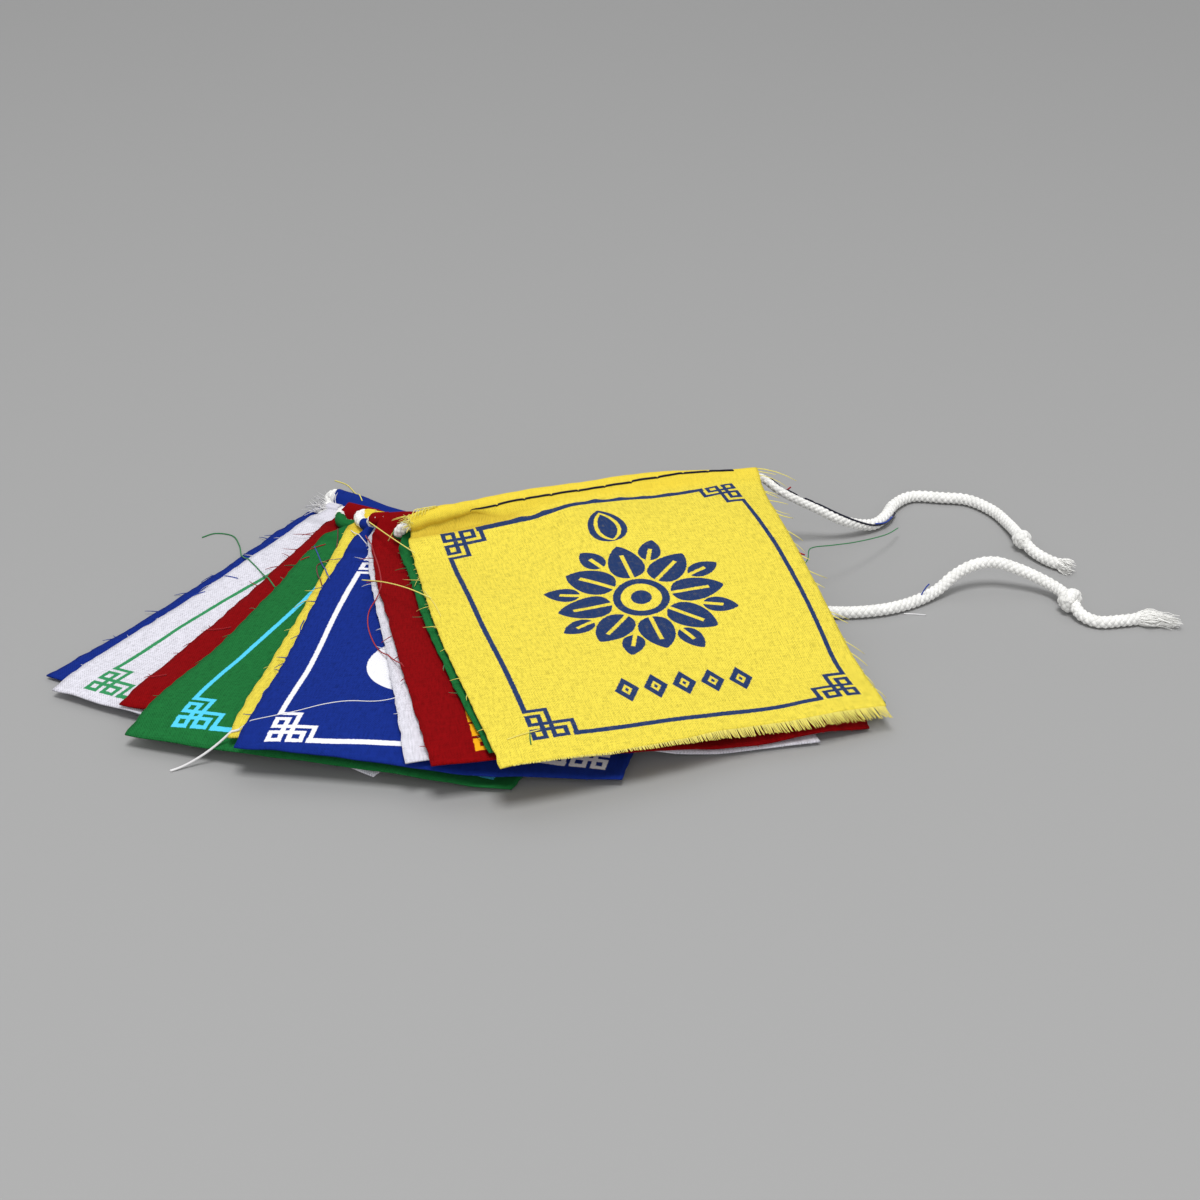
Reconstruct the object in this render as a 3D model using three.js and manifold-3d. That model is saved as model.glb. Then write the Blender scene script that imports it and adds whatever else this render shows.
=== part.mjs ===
import * as THREE from "three";
import { mergeVertices } from "three/addons/utils/BufferGeometryUtils.js";
import Module from "manifold-3d";

// A string of ten small cloth flags on one braided cord, folded flag upon flag and fanned out on
// a table. Millimetres and degrees. X runs to the right, Y away from the viewer, Z up.

const { degToRad, lerp, smoothstep } = THREE.MathUtils;

const CLOTH = 1; // thickness of a flag's sheet
const AIR = 0.3; // least gap between one layer and the next
const HEM = 3.6; // height and width of a hem roll that nothing presses
const PRESSED = 1.6; // height of a hem in the middle of the pile
const SEAM = 3.4; // from the middle of a hem roll to the line where it is sewn down
const EDGE_WAVE = 0.5; // how far a hand-cut edge wanders from straight

const RIDGE = 18; // radius at which a sheet bends over what it lies on
const HOLLOW = 30; // radius at which it bends back up from a hollow

const CORD = 2.7; // diameter of the cord
const TURN_CORD = 2.1; // its diameter where it is drawn tight in a turn
const BUTT = 0.5; // gap between a cord and the hem that it comes out of
// How far a turn stands out past its two hems, for their distance from each other: the first share
// of it, and for hems that lie far apart no more than a base and the second share.
const TURN_REACH = { near: 0.5, base: 2, far: 0.15 };
const CORD_SIDES = 8;

const SHEET_COLUMNS = 12;
const SHEET_ROWS = 12;
const SAMPLES = 7; // samples along each side of a sheet's cell, when sheets are laid on each other

const CLOTHS = {
  blue: "#1b2f8a",
  white: "#ebe8f0",
  red: "#9a1018",
  green: "#1f7d38",
  yellow: "#f2dc40",
};
const CORD_COLOUR = "#e9e6dd";

// The flags from the lowest to the highest. x and y place the left end of the hem, heading is the
// way in which the hem runs from there, width is its length and height the drop of the left edge.
// lean moves the bottom edge along the hem, flare widens it, slant lengthens the right edge and bow
// the middle. left and right are the hem's height at its two ends.
const FLAGS = [
  {
    name: "flag_10_blue",
    x: -33.5, y: 63.1, heading: -31.4, width: 76.1, height: 94.7,
    lean: 0.2, flare: -6.9, slant: -5, bow: 0, left: 2.6, right: 1.8,
  },
  {
    name: "flag_09_white",
    x: -34.1, y: 54, heading: -28.3, width: 80.5, height: 91.2,
    lean: -3.3, flare: -8.8, slant: -4.1, bow: 0, left: 2, right: 1.6,
  },
  {
    name: "flag_08_red",
    x: -30.1, y: 47.8, heading: -22.3, width: 71.6, height: 88.1,
    lean: -2.4, flare: -5.3, slant: -4.1, bow: 0, left: 2.6, right: 1.6,
  },
  {
    name: "flag_07_green",
    x: -29.2, y: 40.1, heading: -17, width: 73.4, height: 89.4,
    lean: -7.3, flare: 0.3, slant: -5.7, bow: 4, left: 2, right: 1.6,
  },
  {
    name: "flag_06_yellow",
    x: -26.1, y: 40.2, heading: -11.1, width: 66.8, height: 90.5,
    lean: 0.5, flare: 3, slant: -10.5, bow: 0, left: 1.8, right: 1.6,
  },
  {
    name: "flag_05_blue",
    x: -25, y: 33.6, heading: -6.7, width: 79.1, height: 88.8,
    lean: -5.3, flare: -8.2, slant: -5.7, bow: 3.5, left: 2, right: 1.6,
  },
  {
    name: "flag_04_white",
    x: -22.9, y: 30.1, heading: 7.2, width: 72, height: 91,
    lean: 2.2, flare: 6.4, slant: -7.6, bow: 0, left: 2, right: 1.6,
  },
  {
    name: "flag_03_red",
    x: -22, y: 27.4, heading: 9.1, width: 80.5, height: 91.6,
    lean: 4, flare: 4.1, slant: -13.7, bow: 0, left: 3, right: 1.6,
  },
  {
    name: "flag_02_green",
    x: -14.4, y: 20.7, heading: 17.9, width: 72.3, height: 83,
    lean: -4, flare: 9, slant: -5.8, bow: 0, left: 2, right: 1.6,
  },
  {
    name: "flag_01_yellow",
    x: -12.9, y: 19, heading: 17.8, width: 76.9, height: 86.5,
    lean: -4.5, flare: 0.8, slant: -5.9, bow: 0, left: 3.6, right: 3,
  },
];

// A hem roll's section from its back to its front: across in shares of its width, and its
// underside and top in shares of its height.
const HEM_SECTION = [
  { across: -0.5, under: 0.36, top: 0.64 },
  { across: -0.36, under: 0.14, top: 0.88 },
  { across: 0, under: 0, top: 1 },
  { across: 0.36, under: 0, top: 0.88 },
  { across: 0.6, under: 0, top: 0.55 },
];
const ROLL_MIDDLE = 2; // the row of the section at the middle of the roll

// Soft swellings of the top flag's cloth below its hem: share of the width, distance below the
// hem, size each way and rise.
const SWELLINGS = [
  { a: 0.56, s: 13, wide: 13, long: 11, rise: 1.8 },
  { a: 0.84, s: 9, wide: 9, long: 9, rise: 0.9 },
];

// The free ends of the cord past the hems, by hand: the last point is the cut end.
const UPPER_ROUTE = [
  [65.3, 40.9, 12.9],
  [69.1, 41.2, 10.6],
  [73.2, 42, 8.2],
  [78.6, 43.1, 5],
  [83.5, 45.3, 2.6],
  [86.9, 47.7, 1.5],
  [89.8, 51.8, 1.4],
  [92.2, 57.4, 1.4],
  [96.6, 61.6, 1.4],
  [103.2, 61.1, 1.4],
  [109, 59.9, 1.4],
  [113.8, 54.6, 1.4],
  [116.7, 46.6, 1.6],
  [118.1, 38.2, 2.5],
  [119.9, 34.2, 1.7],
  [123, 30.2, 1.4],
  [125.7, 28.2, 1.4],
];
const UPPER_KNOT = { point: 13, wide: 4.8 };
const UPPER_FRAY = { length: 3, spread: 0.45, strands: 7 };

const LOWER_ROUTE = [
  [38.9, 18.9, 1.4],
  [47.9, 14.4, 1.4],
  [59.9, 9.8, 1.4],
  [74.3, 7.6, 1.4],
  [80.1, 7.7, 1.4],
  [86.9, 9.4, 1.4],
  [92.9, 13, 1.4],
  [97.2, 16.4, 2],
  [100.7, 18.7, 4],
  [104.8, 20.5, 5.5],
  [109.3, 21, 6],
  [113.8, 20.2, 5],
  [118.2, 18.7, 3.6],
  [121.8, 15.9, 2.6],
  [123.9, 10, 2.8],
  [125.5, 5.8, 1.7],
  [128.5, 3.5, 1.4],
  [133.6, 4, 1.4],
  [137.9, 5, 1.4],
];
const LOWER_KNOT = { point: 14, wide: 5.4 };
const LOWER_FRAY = { length: 7, spread: 0.4, strands: 9 };

// A knot of the cord, in shares of the cord's thickness: the two wraps' own radius, how far each
// lies from the middle of the knot, and how far it slants for every step along the cord.
const KNOT = { wrap: 0.42, apart: 0.25, slant: 0.5, steps: 10 };
// A loose strand of the cut end: its radius, how deep it starts inside the cord, the least share of
// the full length and the share of the cord's thickness over which the strands start.
const STRAND = { radius: 0.45, root: 0.4, shortest: 0.5, start: 0.3 };

const CORD_STEP = 4.4; // length of one step of a free cord's tube
const TURN_STEPS = 8;
const CROWN = 0.6; // share of a turn's width that lies on what it crosses

// The raster on which the pile grows.
const RASTER = 1.5;
const TABLE = { left: -110, right: 160, front: -90, back: 90 };
const COLUMNS = Math.round((TABLE.right - TABLE.left) / RASTER) + 1;
const ROWS = Math.round((TABLE.back - TABLE.front) / RASTER) + 1;
const TALLEST = 30; // no pile is higher
const NOWHERE = -1000;

// Heights on the raster.
class Field {
  constructor(fill) {
    this.values = new Float64Array(COLUMNS * ROWS).fill(fill);
  }

  raise(x, y, z) {
    const column = Math.round((x - TABLE.left) / RASTER);
    const row = Math.round((y - TABLE.front) / RASTER);
    const cell = row * COLUMNS + column;
    this.values[cell] = Math.max(this.values[cell], z);
  }

  at(x, y) {
    const across = (x - TABLE.left) / RASTER;
    const deep = (y - TABLE.front) / RASTER;
    const column = Math.floor(across);
    const row = Math.floor(deep);
    const cell = row * COLUMNS + column;
    const next = cell + COLUMNS;
    const front = lerp(this.values[cell], this.values[cell + 1], across - column);
    const back = lerp(this.values[next], this.values[next + 1], across - column);
    return lerp(front, back, deep - row);
  }

  // The least height at which a layer clears what lies here. It may touch the table itself.
  clearance(x, y) {
    const height = this.at(x, y);
    return height > 0 ? height + AIR : 0;
  }

  // The envelope of parabolas hung from every height (side 1), or of those stood on it (side -1).
  envelope(radius, side) {
    const across = { length: COLUMNS, step: 1, lines: ROWS, stride: COLUMNS };
    const deep = { length: ROWS, step: COLUMNS, lines: COLUMNS, stride: 1 };
    return this.pass(radius, side, across).pass(radius, side, deep);
  }

  pass(radius, side, { length, step, lines, stride }) {
    const out = new Field(0);
    const reach = Math.ceil(Math.sqrt(2 * radius * TALLEST) / RASTER);
    for (let line = 0; line < lines; line++) {
      for (let i = 0; i < length; i++) {
        let best = -Infinity;
        const last = Math.min(length - 1, i + reach);
        for (let j = Math.max(0, i - reach); j <= last; j++) {
          const away = (i - j) * RASTER;
          const height = side * this.values[line * stride + j * step];
          best = Math.max(best, height - (away * away) / (2 * radius));
        }
        out.values[line * stride + i * step] = side * best;
      }
    }
    return out;
  }
}

// One flag: a sheet with its top edge rolled into a hem, laid on what is already on the table.
class Flag {
  constructor(row, isTop) {
    Object.assign(this, row);
    this.isTop = isTop;
    const turn = degToRad(row.heading);
    this.along = new THREE.Vector2(Math.cos(turn), Math.sin(turn));
    this.down = new THREE.Vector2(Math.sin(turn), -Math.cos(turn));
  }

  drop(a) {
    return this.height + this.slant * a + this.bow * 4 * a * (1 - a);
  }

  // The place on the table of a point at share a of the width and s below the hem.
  place(a, s) {
    const t = s / this.drop(a);
    const wander = EDGE_WAVE * Math.sin(7 * t + this.heading) * smoothstep(t, 0, 0.2);
    const run = a * this.width + (this.lean + a * this.flare) * t + wander * (2 * a - 1);
    const spot = new THREE.Vector2(this.x, this.y);
    return spot.addScaledVector(this.along, run).addScaledVector(this.down, s);
  }

  hemHeight(a) {
    const middle = this.isTop ? this.left : PRESSED;
    const start = lerp(this.left, middle, smoothstep(a, 0.05, 0.18));
    return lerp(start, this.right, smoothstep(a, 0.55, 0.9));
  }

  swelling(a, s) {
    if (!this.isTop) return 0;
    const bell = (away, size) => Math.exp(-((away / size) ** 2));
    const rises = SWELLINGS.map((bulge) => {
      const across = bell((a - bulge.a) * this.width, bulge.wide);
      return bulge.rise * across * bell(s - bulge.s, bulge.long);
    });
    return rises.reduce((sum, rise) => sum + rise, 0) * smoothstep(s, 0, SEAM);
  }

  // The surface on which the flag comes to lie, bent round over ridges and across hollows.
  lay(bed) {
    const rest = new Field(NOWHERE);
    const margin = 2;
    for (let run = -margin; run <= this.width + margin; run++) {
      const a = run / this.width;
      for (let s = -margin; s <= this.drop(a) + margin; s++) {
        const spot = this.place(a, s);
        rest.raise(spot.x, spot.y, bed.clearance(spot.x, spot.y));
      }
    }
    return rest.envelope(RIDGE, 1).envelope(HOLLOW, 1).envelope(HOLLOW, -1);
  }

  // The rows of points from the back of the hem roll to the bottom edge, at share a of the width.
  stations(a) {
    const hem = this.hemHeight(a);
    const rows = HEM_SECTION.map(({ across, under, top }) => {
      return { s: across * HEM, under: under * hem, top: top * hem };
    });
    for (let row = 0; row <= SHEET_ROWS; row++) {
      rows.push({ s: lerp(SEAM, this.drop(a), row / SHEET_ROWS), under: 0, top: CLOTH });
    }
    return rows;
  }

  settle(bed) {
    const surface = this.lay(bed);
    this.grid = [];
    for (let column = 0; column <= SHEET_COLUMNS; column++) {
      const a = column / SHEET_COLUMNS;
      const points = this.stations(a).map(({ s, under, top }) => {
        const { x, y } = this.place(a, s);
        const z = surface.at(x, y) + this.swelling(a, s);
        return { x, y, under: z + under, top: z + top };
      });
      this.grid.push(points);
    }
    this.liftClear(bed);
    this.eachSample((corners, mix) => bed.raise(mix("x"), mix("y"), mix("top")));
  }

  // Visits points spread over every cell, with the cell's corners and a blend of their values.
  eachSample(visit) {
    const rows = this.grid[0].length;
    for (let column = 0; column < SHEET_COLUMNS; column++) {
      const [near, far] = [this.grid[column], this.grid[column + 1]];
      for (let row = 0; row < rows - 1; row++) {
        const corners = [near[row], far[row], far[row + 1], near[row + 1]];
        for (let i = 0; i <= SAMPLES; i++) {
          for (let j = 0; j <= SAMPLES; j++) {
            const [p, q] = [i / SAMPLES, j / SAMPLES];
            const shares = p > q ? [1 - p, p - q, q, 0] : [1 - q, 0, p, q - p];
            const blend = (key) => (sum, corner, k) => sum + corner[key] * shares[k];
            visit(corners, (key) => corners.reduce(blend(key), 0));
          }
        }
      }
    }
  }

  // Lifts the corners of each cell that still dips into what lies below it.
  liftClear(bed) {
    const rounds = 4;
    for (let round = 0; round < rounds; round++) {
      this.eachSample((corners, mix) => {
        const short = bed.clearance(mix("x"), mix("y")) - mix("under");
        if (short <= 0) return;
        for (const corner of corners) {
          corner.under += short;
          corner.top += short;
        }
      });
    }
  }

  // Where the cord leaves the hem and which way, at its left end (0) or its right end (1).
  hemEnd(end) {
    const roll = this.grid[end * SHEET_COLUMNS][ROLL_MIDDLE];
    const way = this.along.clone().multiplyScalar(end ? 1 : -1);
    const out = new THREE.Vector3(way.x, way.y, 0);
    const height = Math.max((roll.under + roll.top) / 2, roll.under + CORD / 2);
    return { point: new THREE.Vector3(roll.x, roll.y, height).addScaledVector(out, BUTT), out };
  }

  // A closed sheet: the top, the underside and a wall round the rim.
  geometry() {
    const rows = this.grid[0].length;
    const corners = this.grid.flat();
    const under = corners.length;
    const points = [];
    for (const side of ["top", "under"]) {
      for (const corner of corners) points.push(corner.x, corner.y, corner[side]);
    }
    const index = [];
    for (let column = 0; column < SHEET_COLUMNS; column++) {
      for (let row = 0; row < rows - 1; row++) {
        const a = column * rows + row;
        const [b, c, d] = [a + rows, a + rows + 1, a + 1];
        index.push(a, c, b, a, d, c);
        index.push(under + a, under + b, under + c, under + a, under + c, under + d);
      }
    }
    const rim = [];
    for (let column = 0; column < SHEET_COLUMNS; column++) rim.push(column * rows);
    for (let row = 0; row < rows - 1; row++) rim.push(SHEET_COLUMNS * rows + row);
    for (let column = SHEET_COLUMNS; column > 0; column--) rim.push(column * rows + rows - 1);
    for (let row = rows - 1; row > 0; row--) rim.push(row);
    rim.forEach((from, k) => {
      const to = rim[(k + 1) % rim.length];
      index.push(from, to, under + to, from, under + to, under + from);
    });
    const sheet = new THREE.BufferGeometry();
    sheet.setAttribute("position", new THREE.Float32BufferAttribute(points, 3));
    sheet.setIndex(index);
    sheet.computeVertexNormals();
    return sheet;
  }

  mesh() {
    const color = CLOTHS[this.name.split("_").pop()];
    const material = new THREE.MeshStandardMaterial({ color, roughness: 0.9, metalness: 0 });
    const mesh = new THREE.Mesh(this.geometry(), material);
    mesh.name = this.name;
    return mesh;
  }
}

const wasm = await Module();
wasm.setup();

// One solid out of several closed geometries that run into each other.
function fuse(geometries) {
  const solids = geometries.map((geometry) => {
    const bare = new THREE.BufferGeometry();
    const flat = geometry.index ? geometry.toNonIndexed() : geometry;
    bare.setAttribute("position", flat.getAttribute("position"));
    const merged = mergeVertices(bare, 1e-4);
    const vertProperties = new Float32Array(merged.getAttribute("position").array);
    const triVerts = new Uint32Array(merged.index.array);
    return new wasm.Manifold(new wasm.Mesh({ numProp: 3, vertProperties, triVerts }));
  });
  const { vertProperties, triVerts } = solids.reduce((sum, solid) => sum.add(solid)).getMesh();
  const fused = new THREE.BufferGeometry();
  fused.setAttribute("position", new THREE.Float32BufferAttribute(vertProperties, 3));
  fused.setIndex(Array.from(triVerts));
  fused.computeVertexNormals();
  return fused;
}

function tube(curve, thick, steps) {
  const section = new THREE.Shape().absarc(0, 0, thick / 2, 0, 2 * Math.PI);
  const curveSegments = CORD_SIDES / 2;
  return new THREE.ExtrudeGeometry(section, { extrudePath: curve, steps, curveSegments });
}

function cordMesh(name, geometry) {
  const look = { color: CORD_COLOUR, roughness: 0.85, metalness: 0 };
  const mesh = new THREE.Mesh(geometry, new THREE.MeshStandardMaterial(look));
  mesh.name = name;
  return mesh;
}

// Visits points spread over a ball as thick as a cord, with the height of its shell there.
function overBall(thick, visit) {
  const radius = thick / 2;
  const sides = 4;
  for (let i = -sides; i <= sides; i++) {
    for (let j = -sides; j <= sides; j++) {
      const [dx, dy] = [(i / sides) * radius, (j / sides) * radius];
      const shell = radius ** 2 - dx ** 2 - dy ** 2;
      if (shell > 0) visit(dx, dy, Math.sqrt(shell));
    }
  }
}

// Adds a cord to the pile, so that later flags rest on it.
function raiseOver(bed, curve, thick) {
  for (const point of curve.getSpacedPoints(Math.ceil(curve.getLength()))) {
    overBall(thick, (dx, dy, shell) => bed.raise(point.x + dx, point.y + dy, point.z + shell));
  }
}

// The cord's turn from the end of one hem to the end of the next: half an ellipse, swollen where it
// has to clear what it crosses.
function turnCurve(bed, from, to) {
  const middle = from.point.clone().lerp(to.point, 0.5);
  const half = from.point.clone().sub(middle);
  const out = from.out.clone().add(to.out).normalize();
  const apart = from.point.distanceTo(to.point);
  const reach = Math.min(TURN_REACH.near * apart, TURN_REACH.base + TURN_REACH.far * apart);
  const points = [];
  for (let k = 0; k <= TURN_STEPS; k++) {
    const angle = (Math.PI * k) / TURN_STEPS;
    const point = middle.clone().addScaledVector(half, Math.cos(angle));
    points.push(point.addScaledVector(out, reach * Math.sin(angle)));
  }
  const swell = (k) => Math.sin((Math.PI * k) / TURN_STEPS) ** 2;
  let lift = 0;
  for (let k = 2; k <= TURN_STEPS - 2; k++) {
    const { x, y, z } = points[k];
    overBall(CROWN * TURN_CORD, (dx, dy) => {
      const short = bed.clearance(x + dx, y + dy) + TURN_CORD / 2 - z;
      lift = Math.max(lift, short / swell(k));
    });
  }
  const up = new THREE.Vector3(0, 0, 1);
  const lifted = points.map((point, k) => point.addScaledVector(up, lift * swell(k)));
  return new THREE.CatmullRomCurve3(lifted);
}

// Turns a geometry's own axis to the given way and sets it down at a point.
function aim(geometry, axis, way, point) {
  geometry.applyQuaternion(new THREE.Quaternion().setFromUnitVectors(axis, way));
  return geometry.translate(...point);
}

// An overhand knot drawn tight: two wraps that cross on the cord.
function knot(point, along, wide) {
  const thick = KNOT.wrap * CORD;
  const side = new THREE.Vector3(-along.y, along.x, 0);
  return [-1, 1].map((tilt) => {
    const wrap = new THREE.TorusGeometry(wide / 2 - thick, thick, CORD_SIDES, KNOT.steps);
    const way = along.clone().addScaledVector(side, KNOT.slant * tilt).normalize();
    const spot = point.clone().addScaledVector(along, KNOT.apart * CORD * tilt);
    return aim(wrap, new THREE.Vector3(0, 0, 1), way, spot);
  });
}

// Loose strands that fan out flat from the cut end of the cord.
function fray(point, along, { length, spread, strands }) {
  const up = new THREE.Vector3(0, 0, 1);
  const side = new THREE.Vector3(-along.y, along.x, 0);
  return Array.from({ length: strands }, (_, k) => {
    const share = (2 * k) / (strands - 1) - 1;
    const reach = length * lerp(STRAND.shortest, 1, (1 + Math.cos(5 * k)) / 2);
    const strand = new THREE.ConeGeometry(STRAND.radius, reach, 4);
    strand.translate(0, reach / 2 - STRAND.root, 0);
    const way = along.clone().applyAxisAngle(up, spread * share);
    const spot = point.clone().addScaledVector(side, STRAND.start * CORD * share);
    return aim(strand, new THREE.Vector3(0, 1, 0), way, spot);
  });
}

function freeCurve({ point, out }, route) {
  const start = [point, point.clone().addScaledVector(out, CORD)];
  const places = route.map((place) => new THREE.Vector3(...place));
  return new THREE.CatmullRomCurve3(start.concat(places));
}

function freeEnd(name, curve, route, knotted, frayed) {
  const places = route.map((place) => new THREE.Vector3(...place));
  const heading = (k) => places[k].clone().sub(places[k - 1]).normalize();
  const last = places.length - 1;
  const pieces = [tube(curve, CORD, Math.round(curve.getLength() / CORD_STEP))];
  pieces.push(...knot(places[knotted.point], heading(knotted.point), knotted.wide));
  pieces.push(...fray(places[last], heading(last), frayed));
  return cordMesh(name, fuse(pieces));
}

// Flag by flag from the lowest up. A turn of the cord ties each to the one below it, first at the
// left end of their hems, then at the right end, and so on.
const group = new THREE.Group();
const bed = new Field(0);
const flags = FLAGS.map((row, k) => new Flag(row, k === FLAGS.length - 1));
let lowerCurve;
flags.forEach((flag, k) => {
  flag.settle(bed);
  group.add(flag.mesh());
  if (k === 0) {
    lowerCurve = freeCurve(flag.hemEnd(1), LOWER_ROUTE);
    raiseOver(bed, lowerCurve, CORD);
    return;
  }
  const end = k % 2 ? 0 : 1;
  const curve = turnCurve(bed, flags[k - 1].hemEnd(end), flag.hemEnd(end));
  raiseOver(bed, curve, TURN_CORD);
  const number = flags.length - k;
  group.add(cordMesh(`cord_turn_${number}_${number + 1}`, tube(curve, TURN_CORD, TURN_STEPS)));
});
const upperCurve = freeCurve(flags.at(-1).hemEnd(1), UPPER_ROUTE);
group.add(freeEnd("cord_end_upper", upperCurve, UPPER_ROUTE, UPPER_KNOT, UPPER_FRAY));
group.add(freeEnd("cord_end_lower", lowerCurve, LOWER_ROUTE, LOWER_KNOT, LOWER_FRAY));

export default group;
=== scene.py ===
"""A string of ten small cotton flags on one braided cord, folded flag upon flag and fanned out.

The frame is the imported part's: metres, X to the right, Y away from the viewer, Z up. The tables are
in millimetres and degrees, and MM brings them to metres.
"""

import logging
import math
import random
from dataclasses import dataclass
from enum import Enum
from typing import Any, Callable, Sequence, Union

import bmesh
import bpy
from mathutils import Euler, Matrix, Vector, noise
from mathutils.bvhtree import BVHTree


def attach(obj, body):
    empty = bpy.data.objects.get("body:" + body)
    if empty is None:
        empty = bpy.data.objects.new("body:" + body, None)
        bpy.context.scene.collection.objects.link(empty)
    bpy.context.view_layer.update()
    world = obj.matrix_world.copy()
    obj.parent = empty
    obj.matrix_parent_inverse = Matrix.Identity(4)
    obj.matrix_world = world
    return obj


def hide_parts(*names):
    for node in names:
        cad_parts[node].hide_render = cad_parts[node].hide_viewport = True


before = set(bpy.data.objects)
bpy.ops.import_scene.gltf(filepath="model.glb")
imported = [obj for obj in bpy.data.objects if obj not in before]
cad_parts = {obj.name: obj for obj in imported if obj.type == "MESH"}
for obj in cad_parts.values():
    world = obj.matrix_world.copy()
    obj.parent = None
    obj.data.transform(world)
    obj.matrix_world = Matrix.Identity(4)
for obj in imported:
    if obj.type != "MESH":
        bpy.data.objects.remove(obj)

LOG = logging.getLogger("flags")
MM = 0.001
CHART = "chart"
UP = Vector((0, 0, 1))

WEB = 0.34  # thickness of the woven cloth itself
SEAM = 3.4  # from the middle of a hem roll to the line where it is sewn down
EDGE_WAVE = 0.5  # how far a hand-cut edge wanders from straight
LATTICE = 12  # cells along each side of a flag's solid
FINE_CELLS = (110, 124, 26)  # the top flag's columns, rows and rows round its hem
CORD = 2.7  # diameter of the cord's solid
BRAID = 2.35  # and of the braid itself
TURN_CORD = 2.1  # its diameter where it is drawn tight in a turn
STRANDS = 4  # the braid's strands each way round it
PITCH = 1.3  # from one of them to the next along it
BUTT = 0.5  # gap between a turn's solid and the hem that it comes out of
HEM = 12  # cloth that the hem takes up
CHART_WIDE, CHART_TALL = 100, 110  # millimetres of a print to one unit of a flag's chart
CHART_LEFT, CHART_TOP = 50, 14  # where the print's middle and the hem lie in that chart
ROUND = 0.04  # once round a tube, in its chart

Colour = tuple[float, float, float]
Spot = tuple[float, float]
Number = Union["Val", float]
Placer = Callable[[float, float], Vector]
Charter = Callable[[float, float], Spot]
Radius = Callable[[float, float], float]
Finish = bpy.types.Material
Piece = bpy.types.Object


def ramp(value: float, start: float, end: float) -> float:
    """Rises smoothly from 0 at start to 1 at end."""
    share = min(max((value - start) / (end - start), 0.0), 1.0)
    return share * share * (3 - 2 * share)


def blend(first: Any, second: Any, share: float) -> Any:
    """Goes from the first value to the second by a share."""
    return first + (second - first) * share


def bell(away: float, size: float) -> float:
    """A soft hump, 1 in its middle."""
    return math.exp(-((away / size) ** 2))


def cubic(row: Sequence[Any], place: float) -> Any:
    """Reads a smooth curve through evenly spaced values.

    Args:
        row: the values, numbers or vectors.
        place: where along them, from 0 to 1.

    Returns:
        The value of the curve there.
    """
    last = len(row) - 1
    spot = min(max(place, 0.0), 1.0) * last
    k = min(int(spot), last - 1)
    return span([row[j] if 0 <= j <= last else None for j in range(k - 1, k + 3)], spot - k)


def span(four: Sequence[Any], t: float) -> Any:
    """Reads the curve through four values between the inner two, by a share of that way.

    Args:
        four: the values, the outer ones None past an end.
        t: the share.

    Returns:
        The value of the curve there.
    """
    first, second, third, fourth = four
    first = 2 * second - third if first is None else first
    fourth = 2 * third - second if fourth is None else fourth
    rise, fall = (third - first) * 0.5, (fourth - second) * 0.5
    bend = 3 * (third - second) - 2 * rise - fall
    curl = 2 * (second - third) + rise + fall
    return second + rise * t + bend * (t * t) + curl * (t * t * t)


def smooth_path(points: Sequence[Vector], step: float) -> list[Vector]:
    """Follows a centripetal curve through points.

    Args:
        points: what it goes through.
        step: the distance between the points that it gives back.

    Returns:
        Evenly spaced points on the curve, both ends among them.
    """
    ends = [2 * points[0] - points[1], *points, 2 * points[-1] - points[-2]]
    dense: list[Vector] = []
    for a, b, c, d in zip(ends, ends[1:], ends[2:], ends[3:]):
        ab, bc, cd = (max((q - p).length, 1e-9) ** 0.5 for p, q in ((a, b), (b, c), (c, d)))
        leave = ((b - a) / ab - (c - a) / (ab + bc) + (c - b) / bc) * bc
        reach = ((c - b) / bc - (d - b) / (bc + cd) + (d - c) / cd) * bc
        for k in range(24):
            t = k / 24
            bend = 3 * (c - b) - 2 * leave - reach
            curl = 2 * (b - c) + leave + reach
            dense.append(b + leave * t + bend * t**2 + curl * t**3)
    dense.append(points[-1].copy())
    lengths = [0.0]
    for p, q in zip(dense, dense[1:]):
        lengths.append(lengths[-1] + (q - p).length)
    count = max(2, round(lengths[-1] / step))
    path, k = [], 0
    for i in range(count + 1):
        goal = lengths[-1] * i / count
        while k < len(dense) - 2 and lengths[k + 1] < goal:
            k += 1
        share = (goal - lengths[k]) / max(lengths[k + 1] - lengths[k], 1e-12)
        path.append(dense[k].lerp(dense[k + 1], min(share, 1.0)))
    return path


def path_length(path: Sequence[Vector]) -> float:
    """The length of a line of points."""
    return sum((q - p).length for p, q in zip(path, path[1:]))


def carried_frames(path: Sequence[Vector]) -> list[tuple[Vector, Vector]]:
    """Carries two cross directions along a path without twisting them.

    Args:
        path: the points of the path.

    Returns:
        The two directions at every point.
    """
    ways = [(q - p).normalized() for p, q in zip(path, path[1:])]
    ways.append(ways[-1])
    side = ways[0].cross(UP if abs(ways[0].z) < 0.9 else Vector((1, 0, 0))).normalized()
    frames = []
    for way in ways:
        side = (side - way * side.dot(way)).normalized()
        frames.append((side, side.cross(way)))
    return frames


def arithmetic(operation: str, swap: bool = False) -> Callable[..., "Val"]:
    """Makes a method that adds one step of arithmetic to a material.

    Args:
        operation: what it works out.
        swap: whether the method's own number comes last.

    Returns:
        The method.
    """
    def method(self: "Val", *others: Number) -> "Val":
        """Adds the step."""
        return self.shade.math(operation, *((*others, self) if swap else (self, *others)))

    return method


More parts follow.
